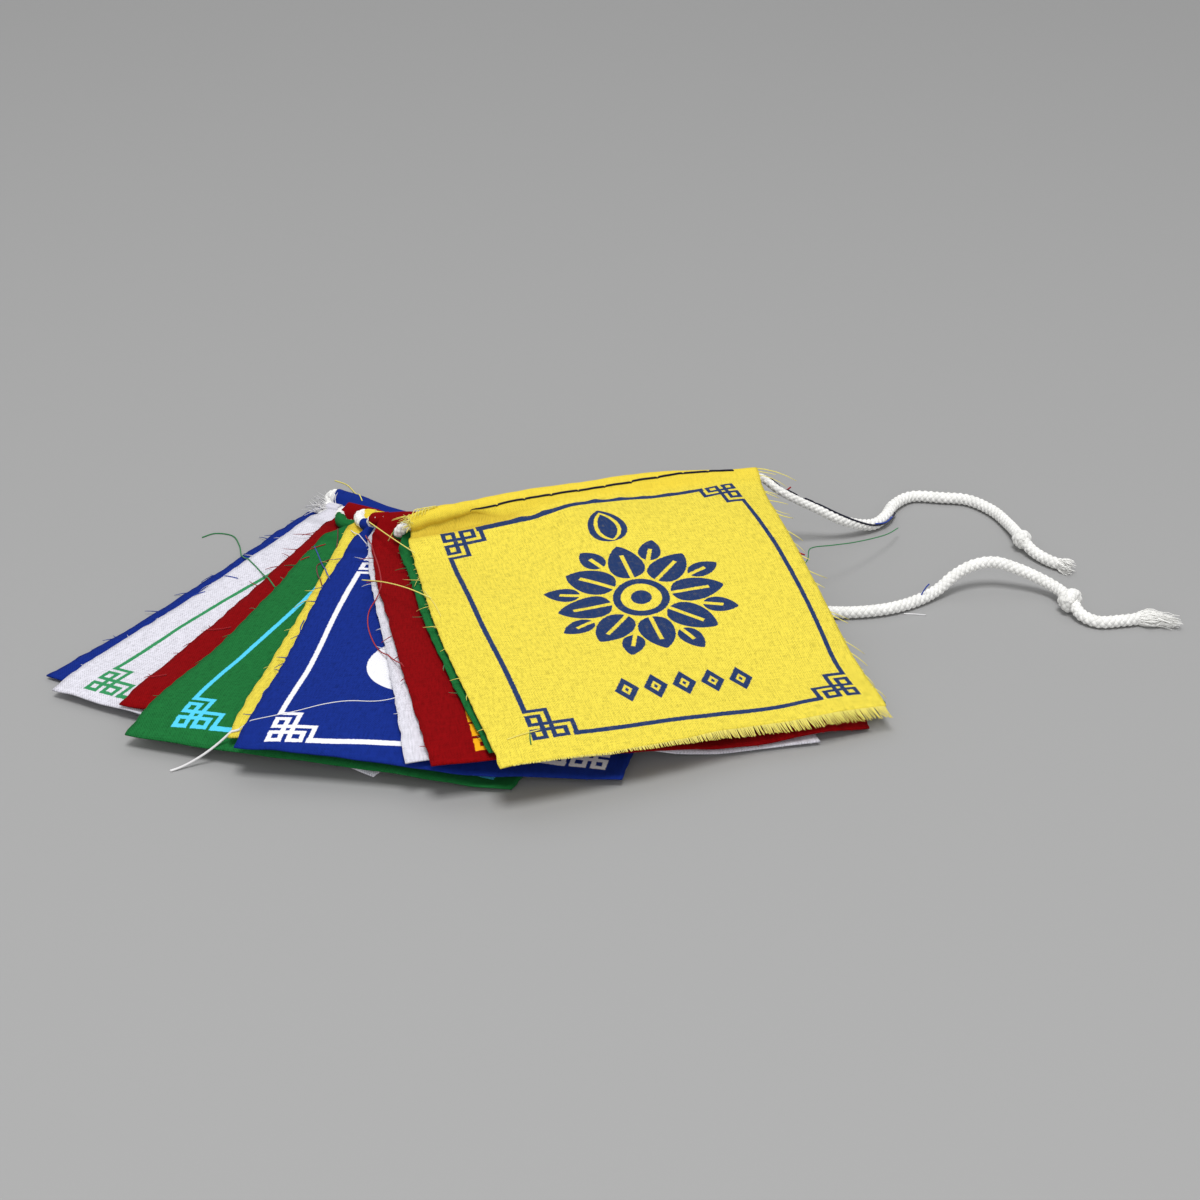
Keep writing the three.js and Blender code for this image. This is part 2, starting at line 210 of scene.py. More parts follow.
@dataclass(frozen=True)
class Val:
    """A number inside a material, on which Python's own arithmetic works."""

    shade: "Shade"
    socket: bpy.types.NodeSocket

    __add__ = __radd__ = arithmetic("ADD")
    __sub__ = arithmetic("SUBTRACT")
    __rsub__ = arithmetic("SUBTRACT", swap=True)
    __mul__ = __rmul__ = arithmetic("MULTIPLY")
    __truediv__ = arithmetic("DIVIDE")
    __mod__ = arithmetic("FLOORED_MODULO")
    __pow__ = arithmetic("POWER")
    __abs__ = arithmetic("ABSOLUTE")
    low = arithmetic("MINIMUM")
    high = arithmetic("MAXIMUM")
    sine = arithmetic("SINE")

    def ramp(self, start: float, end: float) -> "Val":
        """Rises smoothly, as the function of the same name.

        Args:
            start: where it is 0.
            end: where it reaches 1, and stays there.

        Returns:
            The share between them.
        """
        settings = {"interpolation_type": "SMOOTHSTEP"}
        inputs = {"Value": self, "From Min": start, "From Max": end}
        return Val(self.shade, self.shade.node("ShaderNodeMapRange", settings, inputs).outputs[0])


class Shade:
    """A material in the making."""

    def __init__(self, name: str) -> None:
        """Starts a material with a plain surface.

        Args:
            name: of the material.
        """
        self.material = bpy.data.materials.new(name)
        self.material.use_nodes = True
        self.tree = self.material.node_tree
        self.surface = self.tree.nodes["Principled BSDF"]

    def feed(self, socket: bpy.types.NodeSocket, value: Any) -> None:
        """Links a socket or sets its value.

        Args:
            socket: an input.
            value: a Val, an output socket, a number or a colour.
        """
        source = value.socket if isinstance(value, Val) else value
        if isinstance(source, bpy.types.NodeSocket):
            self.tree.links.new(source, socket)
        elif socket.type == "RGBA":
            socket.default_value = (*source, 1.0)
        else:
            socket.default_value = source

    def node(self, kind: str, settings: dict[str, Any], inputs: dict[Any, Any]) -> bpy.types.Node:
        """Adds a node.

        Args:
            kind: its type.
            settings: its own options, set first.
            inputs: values or links by the socket's name or number.

        Returns:
            The node.
        """
        made = self.tree.nodes.new(kind)
        for key, value in settings.items():
            setattr(made, key, value)
        for key, value in inputs.items():
            self.feed(made.inputs[key], value)
        return made

    def math(self, operation: str, *terms: Number) -> Val:
        """Adds one step of arithmetic."""
        node = self.node("ShaderNodeMath", {"operation": operation}, dict(enumerate(terms)))
        return Val(self, node.outputs[0])

    def mix(self, share: Number, first: Any, second: Any) -> bpy.types.NodeSocket:
        """Mixes two colours by a share."""
        inputs = {0: share, 6: first, 7: second}
        return self.node("ShaderNodeMix", {"data_type": "RGBA"}, inputs).outputs[2]

    def chart(self) -> tuple[Val, Val]:
        """Reads the piece's own chart.

        Returns:
            Its two numbers.
        """
        where = self.node("ShaderNodeUVMap", {"uv_map": CHART}, {}).outputs[0]
        split = self.node("ShaderNodeSeparateXYZ", {}, {0: where})
        return Val(self, split.outputs[0]), Val(self, split.outputs[1])

    def cloud(self, x: Number, y: Number, detail: float = 2.0) -> Val:
        """Adds soft noise.

        Args:
            x: place one way, one lump to each unit.
            y: place the other way.
            detail: how many finer lumps lie in it.

        Returns:
            The noise, about 0.5.
        """
        place = self.node("ShaderNodeCombineXYZ", {}, {0: x, 1: y})
        inputs = {"Vector": place.outputs[0], "Scale": 1.0, "Detail": detail, "Roughness": 0.55}
        return Val(self, self.node("ShaderNodeTexNoise", {}, inputs).outputs[0])

    def bump(self, height: Val, depth: float) -> None:
        """Roughens the surface.

        Args:
            height: from 0 to 1.
            depth: of that height, in millimetres.
        """
        inputs = {"Height": height, "Distance": depth * MM, "Strength": 1.0}
        node = self.node("ShaderNodeBump", {}, inputs)
        self.feed(self.surface.inputs["Normal"], node.outputs[0])

    def close(self, colour: Any, roughness: float, sheen: float) -> Finish:
        """Sets the surface's constant values.

        Args:
            colour: its colour, as a link or a value.
            roughness: of the surface.
            sheen: weight of the soft fuzz on it.

        Returns:
            The finished material.
        """
        values = {"Base Color": colour, "Roughness": roughness, "Sheen Weight": sheen,
                  "Sheen Roughness": 0.5, "Specular IOR Level": 0.02}
        for key, value in values.items():
            self.feed(self.surface.inputs[key], value)
        return self.material


class Dye(Enum):
    """The colours in which the cotton is dyed."""

    YELLOW = "yellow"
    GREEN = "green"
    RED = "red"
    WHITE = "white"
    BLUE = "blue"

    @property
    def colour(self) -> Colour:
        """The dyed cloth's own colour.

        Returns:
            The colour, in linear light.
        """
        return {
            "yellow": (0.75, 0.615, 0.07),
            "green": (0.0135, 0.143, 0.036),
            "red": (0.215, 0.0028, 0.0042),
            "white": (0.67, 0.66, 0.73),
            "blue": (0.0085, 0.026, 0.215),
        }[self.value]


@dataclass(frozen=True)
class Print:
    """The one-colour print of a flag: a border with knotted corners round a lotus rosette."""

    x: Val  # millimetres across the flag from its middle
    y: Val  # millimetres down from the hem
    line: float  # width of the border's line
    halo: float  # radius of a disc beside the rosette, or 0 for none

    HALF_WIDE = 33.0  # half the border's width and height, and its middle below the hem
    HALF_TALL = 38.2
    MIDDLE = 44.9
    UNIT = 1.36  # millimetres to a unit of the corner knots
    KNOT = 6  # side of a corner knot, in units
    KNOT_LINE = 0.7  # the corner knot's lines, and what they gain with the border's
    KNOT_GAIN = 0.24
    BARS = (
        # place across, start and end along, in units; the one that runs past the knot is the border
        (0, 0, 1.6), (0, 2.9, 4.7), (0, KNOT, 60), (1.6, 0, 4.7), (2.9, 0, KNOT), (4.7, 0, 1.6),
        (KNOT, 0, 2.9),
    )
    PETALS = 8
    SLIT = 0.42  # half the width of a petal's slit, and how far short of the tip it stops
    SLIT_STOP = 3.2
    ROSETTE, JEWEL, LOZENGES = 43.5, 11.5, 72.3  # middle, tip and middle, below the hem
    DISC = 9.5  # the disc's middle is so far left of the rosette's and below it
    SOFT = 0.09  # half the width over which an edge of the ink fades

    def border(self) -> Val:
        """Draws the border and its four corner knots.

        Returns:
            The distance to them, below 0 inside their lines.
        """
        inward_x = self.HALF_WIDE - abs(self.x)
        inward_y = self.HALF_TALL - abs(self.y - self.MIDDLE)
        knot_line = self.KNOT_LINE + self.KNOT_GAIN * self.line
        bars = []
        heavy = self.y.ramp(24, 9) * 0.35 + 1.2  # lines across the flag, the top one most of all
        for across, along, weight in ((inward_x, inward_y, 1.0), (inward_y, inward_x, heavy)):
            for place, start, end in self.BARS:
                middle, half = (start + end) / 2 * self.UNIT, (end - start) / 2 * self.UNIT
                thick = self.line * weight if end > self.KNOT else knot_line
                side = abs(across - place * self.UNIT)
                bars.append(side.high(abs(along - middle) - half) - thick / 2)
        nearest = bars[0]
        for bar in bars[1:]:
            nearest = nearest.low(bar)
        return nearest

    def petals(self, fold: Val, reach: Val, start: float, end: float, wide: float) -> Val:
        """Distance to eight pointed petals, each with a slit down its middle.

        Args:
            fold: share of a petal's pitch away from its axis, up to a half.
            reach: distance from the middle of the rosette.
            start: where a petal starts.
            end: where its tip is.
            wide: half its greatest width.

        Returns:
            The distance, below 0 inside the lines.
        """
        rise = ((reach - start) / (end - start)).high(0.0).low(1.0)
        width = rise ** 0.6 * (1 - rise) ** 0.8 * (2.4 * wide)
        aside = reach * fold * (2 * math.pi / self.PETALS)
        slit = (self.SLIT - aside).low(end - self.SLIT_STOP - reach)
        return (aside - width).high(slit).high(start - reach).high(reach - end)

    def rosette(self) -> Val:
        """Draws the rosette, with the disc where there is one.

        Returns:
            The distance to it, below 0 inside its lines.
        """
        down = self.y - self.ROSETTE
        shade = self.x.shade
        reach = shade.math("SQRT", self.x * self.x + down * down)
        turn = shade.math("ARCTAN2", down, self.x) * (self.PETALS / (2 * math.pi))
        fold = abs((turn + 0.5) % 1.0 - 0.5)
        front = self.petals(fold, reach, start=6.2, end=17.4, wide=4.0)
        back = self.petals(0.5 - fold, reach, start=12.4, end=19.8, wide=2.5)
        ring, half_line, hub = 4.9, 0.8, 2.1
        rings = (abs(reach - ring) - half_line).low(reach - hub)
        shape = front.low(back).low(rings)
        if not self.halo:
            return shape
        aside, below = self.x + self.DISC, down - self.DISC
        return shape.low(shade.math("SQRT", aside * aside + below * below) - self.halo)

    def jewel(self) -> Val:
        """Draws a flame-shaped drop above the rosette.

        Returns:
            The distance to it, below 0 inside its lines.
        """
        tip, tall, wide, half_line, heart = self.JEWEL, 12.5, 9.4, 0.65, 2.1
        fall = ((self.y - tip) / tall).high(0.0).low(1.0)
        width = fall ** 0.8 * (1 - fall) ** 0.5 * wide
        aside = abs(self.x)
        lines = (abs(aside - width + half_line) - half_line).low(aside - width + heart)
        return lines.high(tip - self.y).high(self.y - tip - tall)

    def lozenges(self) -> Val:
        """Draws a row of lozenges under the rosette.

        Returns:
            The distance to them, below 0 inside their lines.
        """
        pitch, count, size, half_line, heart = 5.9, 5, 1.95, 0.55, 1.6
        aside = abs((self.x / pitch + 0.5) % 1.0 - 0.5) * pitch
        away = aside * 0.78 + abs(self.y - self.LOZENGES) * 0.52 - size
        lines = (abs(away + half_line) - half_line).low(away + heart)
        return lines.high(abs(self.x) - count / 2 * pitch)

    def ink(self) -> Val:
        """Puts the whole print together.

        Returns:
            How much ink lies on the cloth, from 0 to 1.
        """
        motif = self.rosette()
        if not self.halo:
            motif = motif.low(self.jewel()).low(self.lozenges())
        return 1 - self.border().low(motif).ramp(-self.SOFT, self.SOFT)


@dataclass(frozen=True)
class CottonFinish:
    """Thin plain-woven cotton, with a print where it has an ink, a hem darkened partly as two layers
    of cloth and partly by painted shade, and painted shade at the foot of the hem's left end.
    """

    name: str
    dye: Dye
    ink: Colour | None = None
    line: float = 1.0
    halo: float = 0.0
    pitch: float = 0.55

    def weave(self, shade: Shade, x: Val, y: Val) -> tuple[Val, Val]:
        """The threads of the cloth.

        Args:
            shade: the material.
            x: millimetres across the flag.
            y: millimetres down it.

        Returns:
            How bright each thread is and how high, both about 0 to 1.
        """
        drift = shade.cloud(x * 0.11, y * 0.11) * 1.2
        warp = shade.cloud(x / self.pitch * 2.0, y * 0.45)
        weft = shade.cloud(x * 0.45, y / self.pitch * 1.4 + 31)
        turn = 2 * math.pi / self.pitch
        cells = ((x + drift) * turn).sine() * ((y + drift) * turn).sine() * 0.5 + 0.5
        bright = warp * 0.95 + weft * 0.65 - 0.3
        specks = shade.cloud(x * 1.9 + 17, y * 1.9).ramp(0.55, 0.8) * cells.ramp(0.45, 0.1)
        return bright + (cells - 0.5) * 0.4 - specks * 0.4, cells * 0.55 + bright * 0.45

    def make(self) -> Finish:
        """Builds the material.

        Returns:
            The material.
        """
        shade = Shade(self.name)
        across, down = shade.chart()
        x, y = across * CHART_WIDE - CHART_LEFT, down * CHART_TALL - CHART_TOP
        bright, height = self.weave(shade, x, y)
        base = Vector(self.dye.colour)
        deep = tuple(base * 0.63)
        pale = tuple(min(part * 1.13, 0.97) for part in base)
        cloth = shade.mix(bright.ramp(0.05, 0.7), deep, pale)
        tints = (0.95,) * 3, (0.7,) * 3  # of the hem: two layers of cloth with painted shade; of the foot of the hem's left end: painted shade
        # yellow cloth gets a warmer, more orange hem tint and painted shade
        if self.dye is Dye.YELLOW:
            tints = (1.05, 0.95, 0.66), (0.66, 0.52, 0.4)
        doubled_and_shade, crease_shade = (tuple(part * dim for part, dim in zip(base, tint)) for tint in tints)
        # darker towards the hem: partly two layers of cloth, partly painted shade
        cloth = shade.mix(y.ramp(8, 1) * 0.6, cloth, doubled_and_shade)
        # painted shade in the crease along the foot of the hem's left end
        cloth = shade.mix(abs(y - 5.2).ramp(2.0, 0.2) * x.ramp(-11, -19) * 0.55, cloth, crease_shade)
        if self.ink:
            rough = shade.cloud(x * 2.1, y * 2.1, 1.0) - 0.5
            ink = Print(x + rough * 0.3, y + rough * 0.3, self.line, self.halo).ink()
            worn = shade.cloud(x * 0.9 + 9, y * 0.9).ramp(0.15, 0.5) * 0.08 + 0.92
            cover = ink * worn * (0.9 + bright * 0.2)
            cloth = shade.mix(cover.low(1.0), cloth, self.ink)
        shade.bump(height, 0.05)
        return shade.close(cloth, 0.92, 0.01)


@dataclass(frozen=True)
class ThreadFinish:
    """Spun cotton thread, its colour a little uneven along it."""

    name: str
    colour: Colour

    def make(self) -> Finish:
        """Builds the material.

        Returns:
            The material.
        """
        shade = Shade(self.name)
        around, along = shade.chart()
        twist = shade.cloud(around * 3, along * 40)
        base = Vector(self.colour)
        pale = tuple(min(part * 1.2 + 0.01, 0.95) for part in base)
        colour = shade.mix(twist.ramp(0.3, 0.7), tuple(base * 0.8), pale)
        return shade.close(colour, 0.85, 0.2)


@dataclass(frozen=True)
class CordFinish:
    """Off-white braided cotton, with fine fibres, a trace of grey and painted shade in the grooves
    between its strands.
    """

    name: str = "cord_cotton"
    colour: Colour = (0.92, 0.915, 0.89)
    # whether painted shade darkens the grooves between the braid's strands
    braided: bool = True

    def make(self) -> Finish:
        """Builds the material.

        Returns:
            The material.
        """
        shade = Shade(self.name)
        around, along = shade.chart()
        fibre = shade.cloud(around * 60, along * 400)
        grime = shade.cloud(around * 5 + 3, along * 18)
        base = Vector(self.colour)
        turn, run = around * (STRANDS / ROUND), along * (1 / MM / PITCH)
        one, two = turn + run, turn - run
        # which strand lies on top and how far from its middle: painted shade goes in the grooves at
        # its sides
        under = (one - one % 1.0 + two - two % 1.0 + 0.5) % 2.0
        first, second = (abs(side % 1.0 - 0.5) * 2 for side in (one, two))
        groove_shade = second + (first - second) * under.ramp(0.9, 1.1)
        colour = shade.mix(fibre.ramp(0.3, 0.7), tuple(base * 0.9), tuple(base * 1.05))
        colour = shade.mix(grime.ramp(0.45, 0.9) * 0.12, colour, tuple(base * 0.8))
        if self.braided:
            colour = shade.mix(groove_shade.ramp(0.62, 1.0) * 0.5, colour, tuple(base * 0.5))
        shade.bump(fibre, 0.04)
        return shade.close(colour, 0.88, 0.1)


@dataclass(frozen=True)
class TableFinish:
    """A pale grey table top, with painted shade that darkens it towards the back."""

    name: str = "table_grey"
    grey: float = 0.355
    dim: float = 0.93  # painted shade: how much of that grey is left at the back
    back: Spot = (0.468, 0.565)  # shares of its depth over which the painted shade darkens it

    def make(self) -> Finish:
        """Builds the material.

        Returns:
            The material.
        """
        shade = Shade(self.name)
        across, deep = shade.chart()
        tone = shade.cloud(across * 300, deep * 300) * 0.06
        light, dark = (self.grey,) * 3, (self.grey * self.dim,) * 3
        # painted shade towards the back, with a little random tone
        colour = shade.mix(deep.ramp(*self.back) + tone, light, dark)
        return shade.close(colour, 0.75, 0.0)


class Loom:
    """A mesh in the making, out of grids that a function puts in their place."""

    def __init__(self) -> None:
        """Starts an empty mesh with one chart."""
        self.mesh = bmesh.new()
        self.uv = self.mesh.loops.layers.uv.new(CHART)

    def grid(self, columns: int, rows: int, place: Placer, chart: Charter) -> None:
        """Adds a grid.

        Args:
            columns: its cells one way.
            rows: its cells the other way.
            place: gives a point for the two shares of the grid.
            chart: gives that point's place in the chart.
        """
        made = bmesh.ops.create_grid(self.mesh, x_segments=columns, y_segments=rows, size=0.5)
        shares = {vert: (vert.co.x + 0.5, vert.co.y + 0.5) for vert in made["verts"]}
        for face in {face for vert in made["verts"] for face in vert.link_faces}:
            for loop in face.loops:
                loop[self.uv].uv = chart(*shares[loop.vert])
        for vert, share in shares.items():
            vert.co = place(*share)

    def tube(self, path: Sequence[Vector], sides: int, radius: Radius) -> None:
        """Adds a tube.

        Args:
            path: the points of its middle.
            sides: its faces round about.
            radius: gives its radius for the shares around and along it.
        """
        frames = carried_frames(path)
        rows = len(path) - 1
        length = path_length(path)

        def place(around: float, along: float) -> Vector:
            """Places a point of the tube's skin.

            Args:
                around: share of the way round.
                along: share of the way along.

            Returns:
                The point.
            """
            k = round(along * rows)
            side, rise = frames[k]
            angle = 2 * math.pi * around
            out = side * math.cos(angle) + rise * math.sin(angle)
            return path[k] + out * radius(around, along)

        self.grid(sides, rows, place, lambda around, along: (around * ROUND, along * length))

    def piece(self, name: str, *finishes: Finish, sealed: bool = True) -> Piece:
        """Ends the mesh and makes a piece of it.

        Args:
            name: of the piece.
            finishes: its materials.
            sealed: whether its open ends are closed.

        Returns:
            The piece, linked to the scene.
        """
        bmesh.ops.remove_doubles(self.mesh, verts=self.mesh.verts, dist=1e-6)
        if sealed:
            rims = [edge for edge in self.mesh.edges if edge.is_boundary]
            bmesh.ops.holes_fill(self.mesh, edges=rims, sides=0)
            bmesh.ops.recalc_face_normals(self.mesh, faces=self.mesh.faces)
        data = bpy.data.meshes.new(name)
        self.mesh.to_mesh(data)
        self.mesh.free()
        data.shade_smooth()
        for finish in finishes:
            data.materials.append(finish)
        made = bpy.data.objects.new(name, data)
        bpy.context.scene.collection.objects.link(made)
        return made


def rope(name: str, finish: Finish, line: Sequence[Vector], sides: int,
         radius: Radius) -> Piece:
    """Makes a piece of one tube.

    Args:
        name: of the piece.
        finish: its material.
        line: the points of its middle, in millimetres.
        sides: its faces round about.
        radius: gives its radius in metres for the shares around and along it.

    Returns:
        The piece.
    """
    loom = Loom()
    loom.tube([point * MM for point in line], sides, radius)
    return loom.piece(name, finish)


class Bed:
    """What lies on the table: heights straight above a place, read from meshes."""

    def __init__(self, *pieces: Piece) -> None:
        """Starts with the bare table.

        Args:
            pieces: what lies on it already.
        """
        self.trees: list[BVHTree] = []
        for piece in pieces:
            self.add(piece)

    def add(self, piece: Piece) -> None:
        """Adds a piece with its modifiers."""
        depsgraph = bpy.context.evaluated_depsgraph_get()
        self.trees.append(BVHTree.FromObject(piece, depsgraph))

    def top(self, x: float, y: float, start: float = 1.0) -> float:
        """The height of the first thing met from above.

        Args:
            x: place to the right.
            y: place away from the viewer.
            start: height from which it looks down.

        Returns:
            The height, or 0 on the bare table.
        """
        origin = Vector((x, y, start))
        hits = (tree.ray_cast(origin, -UP)[0] for tree in self.trees)
        return max((hit.z for hit in hits if hit), default=0.0)

    def under(self, x: float, y: float) -> float:
        """The height of the first thing met from below, or 0."""
        hits = (tree.ray_cast(Vector((x, y, -1.0)), UP)[0] for tree in self.trees)
        return min((hit.z for hit in hits if hit), default=0.0)


@dataclass(frozen=True)
class FlagPlan:
    """A flag as it lies: where its hem runs and how its edges are cut."""

    number: int
    dye: Dye
    x: float  # left end of the hem
    y: float
    heading: float  # of the hem
    width: float
    height: float  # from the middle of the hem to the bottom left corner
    lean: float  # how far that corner lies to the right of the hem's end
    flare: float  # how much wider the flag is at its bottom
    slant: float  # how much longer it is on the right
    bow: float = 0.0  # and in the middle
    ink: Colour | None = None  # of its print, or None where its plain reverse side lies upwards
    line: float = 1.0
    halo: float = 0.0

    @property
    def node(self) -> str:
        """The name of the flag's solid."""
        return f"flag_{self.number:02d}_{self.dye.value}"

    @property
    def along(self) -> Vector:
        """The way in which the hem runs."""
        turn = math.radians(self.heading)
        return Vector((math.cos(turn), math.sin(turn), 0))

    @property
    def down(self) -> Vector:
        """The way from the hem to the bottom edge."""
        turn = math.radians(self.heading)
        return Vector((math.sin(turn), -math.cos(turn), 0))

    def drop(self, a: float) -> float:
        """The flag's length at a share of its width."""
        return self.height + self.slant * a + self.bow * 4 * a * (1 - a)

    def spot(self, a: float, s: float) -> Vector:
        """The place on the table of a point of the flag.

        Args:
            a: share of the width.
            s: millimetres below the middle of the hem.

        Returns:
            The place, in metres.
        """
        t = s / self.drop(a)
        wander = EDGE_WAVE * math.sin(7 * t + self.heading) * ramp(t, 0, 0.2)
        run = a * self.width + (self.lean + a * self.flare) * t + wander * (2 * a - 1)
        return (Vector((self.x, self.y, 0)) + self.along * run + self.down * s) * MM

    def mouth(self, end: int) -> tuple[Vector, Vector]:
        """Where the cord comes out of the hem.

        Args:
            end: 0 for the hem's left end, 1 for its right end.

        Returns:
            The place and the way out, in millimetres.
        """
        solid = Bed(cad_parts[self.node])
        middle = self.spot(abs(end - 0.002), 0)
        floor, top = (look(middle.x, middle.y) / MM for look in (solid.under, solid.top))
        out = self.along * (2 * end - 1)
        point = self.spot(end, 0) / MM + out * BUTT
        return point + UP * max((floor + top) / 2, floor + CORD / 2), out


NAVY: Colour = (0.015, 0.037, 0.125)
AQUA: Colour = (0.09, 0.60, 0.88)
AMBER: Colour = (0.90, 0.42, 0.012)
LEAF: Colour = (0.03, 0.26, 0.095)
SNOW: Colour = (0.86, 0.86, 0.90)

PLANS = (
    # number, dye, x, y, heading, width, height, lean, flare, slant, bow, ink, line, halo
    FlagPlan(10, Dye.BLUE, -33.5, 63.1, -31.4, 76.1, 94.7, 0.2, -6.9, -5),
    FlagPlan(9, Dye.WHITE, -34.1, 54, -28.3, 80.5, 91.2, -3.3, -8.8, -4.1, 0, LEAF, 1.0),
    FlagPlan(8, Dye.RED, -30.1, 47.8, -22.3, 71.6, 88.1, -2.4, -5.3, -4.1),
    FlagPlan(7, Dye.GREEN, -29.2, 40.1, -17, 73.4, 89.4, -7.3, 0.3, -5.7, 4, AQUA, 1.0),
    FlagPlan(6, Dye.YELLOW, -26.1, 40.2, -11.1, 66.8, 90.5, 0.5, 3, -10.5),
    FlagPlan(5, Dye.BLUE, -25, 33.6, -6.7, 79.1, 88.8, -5.3, -8.2, -5.7, 3.5, SNOW, 1.05, 12.2),
    FlagPlan(4, Dye.WHITE, -22.9, 30.1, 7.2, 72, 91, 2.2, 6.4, -7.6),
    FlagPlan(3, Dye.RED, -22, 27.4, 9.1, 80.5, 91.6, 4, 4.1, -13.7, 0, AMBER, 1.4),
    FlagPlan(2, Dye.GREEN, -14.4, 20.7, 17.9, 72.3, 83, -4, 9, -5.8),
    FlagPlan(1, Dye.YELLOW, -12.9, 19, 17.8, 76.9, 86.5, -4.5, 0.8, -5.9, 0, NAVY, 1.05),
)


@dataclass(frozen=True)
class PrintLay:
    """Where a print's border lies on its flag: shares of the width, millimetres below the hem."""

    left: Spot = (0.077, 0.077)  # at its top and its bottom corner
    right: Spot = (0.923, 0.923)
    bottom: Spot = (83.1, 78.0)  # at its left and its right corner
    top: tuple[float, ...] = (6.7, 6.7)  # evenly spaced across the flag

    def chart(self, a: float, s: float) -> Spot:
        """The print's own millimetres at a point of the flag.

        Args:
            a: share of the width.
            s: millimetres below the middle of the hem.

        Returns:
            Millimetres across from the print's middle and down from the hem.
        """
        high, low = Print.MIDDLE - Print.HALF_TALL, Print.MIDDLE + Print.HALF_TALL
        left, right = (blend(*side, s / 80) for side in (self.left, self.right))
        top, bottom = cubic(self.top, a), blend(*self.bottom, a)
        x = blend(-Print.HALF_WIDE, Print.HALF_WIDE, (a - left) / (right - left))
        return x, blend(high, low, (s - top) / (bottom - top))


LAYS = {
    1: PrintLay((0.077, 0.09), (0.904, 0.96), (81.2, 73.8),
                (3.8, 4.2, 4.8, 5.1, 5.0, 5.5, 6.6, 6.8, 6.1, 3.6, 2.4)),
    3: PrintLay((0.155, 0.107), (0.88, 0.88), (89.2, 71.0)),
    5: PrintLay((0.069, 0.076), (0.93, 0.94), (86.7, 80.2), (12.1, 9.0)),
    7: PrintLay((0.098, 0.105), (0.92, 0.935), (86.0, 80.8), (8.0, 8.0)),
    9: PrintLay((0.118, 0.083), (0.92, 0.92), (88.3, 84.0), (8.0, 8.0)),
}


@dataclass(frozen=True)
class Outline:
    """How the cut edges of a flag lie off its solid's, in millimetres, from end to end of each."""

    left: tuple[float, ...] = (0.0, 0.0)  # to the right, from the hem to the bottom
    right: tuple[float, ...] = (0.0, 0.0)
    bottom: tuple[float, ...] = (0.0, 0.0)  # upwards
    gather: float = 0.0  # how far the left end of the hem is pushed together on the cord
    lift: float = 0.0  # how much higher the left end of the hem lies

    @property
    def hem_end(self) -> float:
        """How far the left end of the hem lies to the right of its solid's."""
        return self.left[0] + self.gather

    def shift(self, a: float, share: float) -> float:
        """How far a point lies to the right of its place in the solid, by its two shares."""
        pushed = self.gather * (1 - ramp(share, -0.035, 0.02))
        return (cubic(self.left, share) + pushed) * (1 - a) + cubic(self.right, share) * a


OUTLINES = {
    10: Outline((0, 0.7, 1.3, 0.9, 0.9, 0), gather=1.0),
    9: Outline((-1.25, -0.8, 0, 0.55, -0.2, -0.5), bottom=(0, -0.8, -0.8, -0.6, 0, 0),
               gather=2.65),
    8: Outline((-1.7, -1.45, -0.6, 0.4, 0.4, -0.2), gather=3.1, lift=1.0),
    7: Outline((-2.0, -1.2, -0.2, 0.8, 0.8, -0.4), bottom=(0, 1.2, 1.5, 1.05, 0.75, 0.5),
               gather=3.5),
    6: Outline((-0.6, -0.6, -0.6, -0.2, 0.6, 0.85), gather=2.8, lift=0.5),
    5: Outline(bottom=(0.2, 1.1, 0.7, -0.6, 1.0, -0.1), gather=2.4),
    4: Outline((0, -0.65, -0.9, -0.4, 0.4, 0.9), bottom=(0, 1.2, 1.4, 0.8, 0.4, 0), gather=2.0),
    3: Outline((-0.2, -2.05, -1.6, -1.0, -0.55, -0.45), bottom=(0, -1.2, -2.2, -2.2, -2.6, -2.0),
               gather=2.2, lift=-0.5),
    2: Outline((-2.2, -1.95, -2.6, -2.9, -2.6, -0.9), (0, -0.3, -0.8, -1.3, -1.5, -1.0),
               gather=1.7),
    1: Outline((-1.3, -1.6, -2.2, -2.5, -2.2, -0.9), (0, -1.3, -1.5, -0.65, 0.75, 0.65),
               (-1.0, -1.7, -1.8, -0.8, -2.1, -2.2), gather=1.3),
}


@dataclass(frozen=True)
class Crease:
    """A soft ridge, or a trough where its rise is below 0, along a line on a flag."""

    flag: int
    start: Spot  # share of the width, millimetres below the hem
    end: Spot
    wide: float
    rise: float

    def height(self, plan: FlagPlan, a: float, s: float) -> float:
        """Reads the crease's own height at a point of its flag.

        Args:
            plan: the flag.
            a: share of the width.
            s: millimetres below the middle of the hem.

        Returns:
            The height, in millimetres.
        """
        point = Vector((a * plan.width, s))
        first = Vector((self.start[0] * plan.width, self.start[1]))
        run = Vector((self.end[0] * plan.width, self.end[1])) - first
        share = min(max((point - first).dot(run) / max(run.length_squared, 1e-6), 0.0), 1.0)
        away = (point - first - run * share).length
        return self.rise * bell(away, self.wide)


CREASES = (
    Crease(1, (0.44, 4), (0.455, 13), 4.5, 0.7),
    Crease(1, (0.66, 6), (0.70, 14), 7.0, -0.35),
    Crease(1, (0.30, 3), (0.307, 4.4), 1.2, 0.36),
    Crease(1, (0.37, 3), (0.373, 4.4), 1.2, 0.36),
    Crease(1, (0.52, 3), (0.515, 4.8), 1.2, 0.44),
    Crease(1, (0.58, 3), (0.585, 4.8), 1.2, 0.4),
    Crease(1, (0.64, 3), (0.65, 4.8), 1.2, 0.44),
    Crease(1, (0.71, 3), (0.72, 4.8), 1.2, 0.4),
    Crease(1, (0.77, 3), (0.775, 4.4), 1.2, 0.32),
    Crease(1, (0.05, 30), (0.5, 34), 10, 0.25),
    Crease(1, (0.5, 60), (0.95, 52), 9, 0.25),
    Crease(1, (0.3, 78), (0.6, 62), 8, -0.2),
    Crease(5, (0.04, 30), (0.2, 60), 5, 0.3),
    Crease(7, (0.03, 40), (0.15, 70), 5, 0.3),
    Crease(9, (0.03, 25), (0.12, 60), 5, 0.3),
)


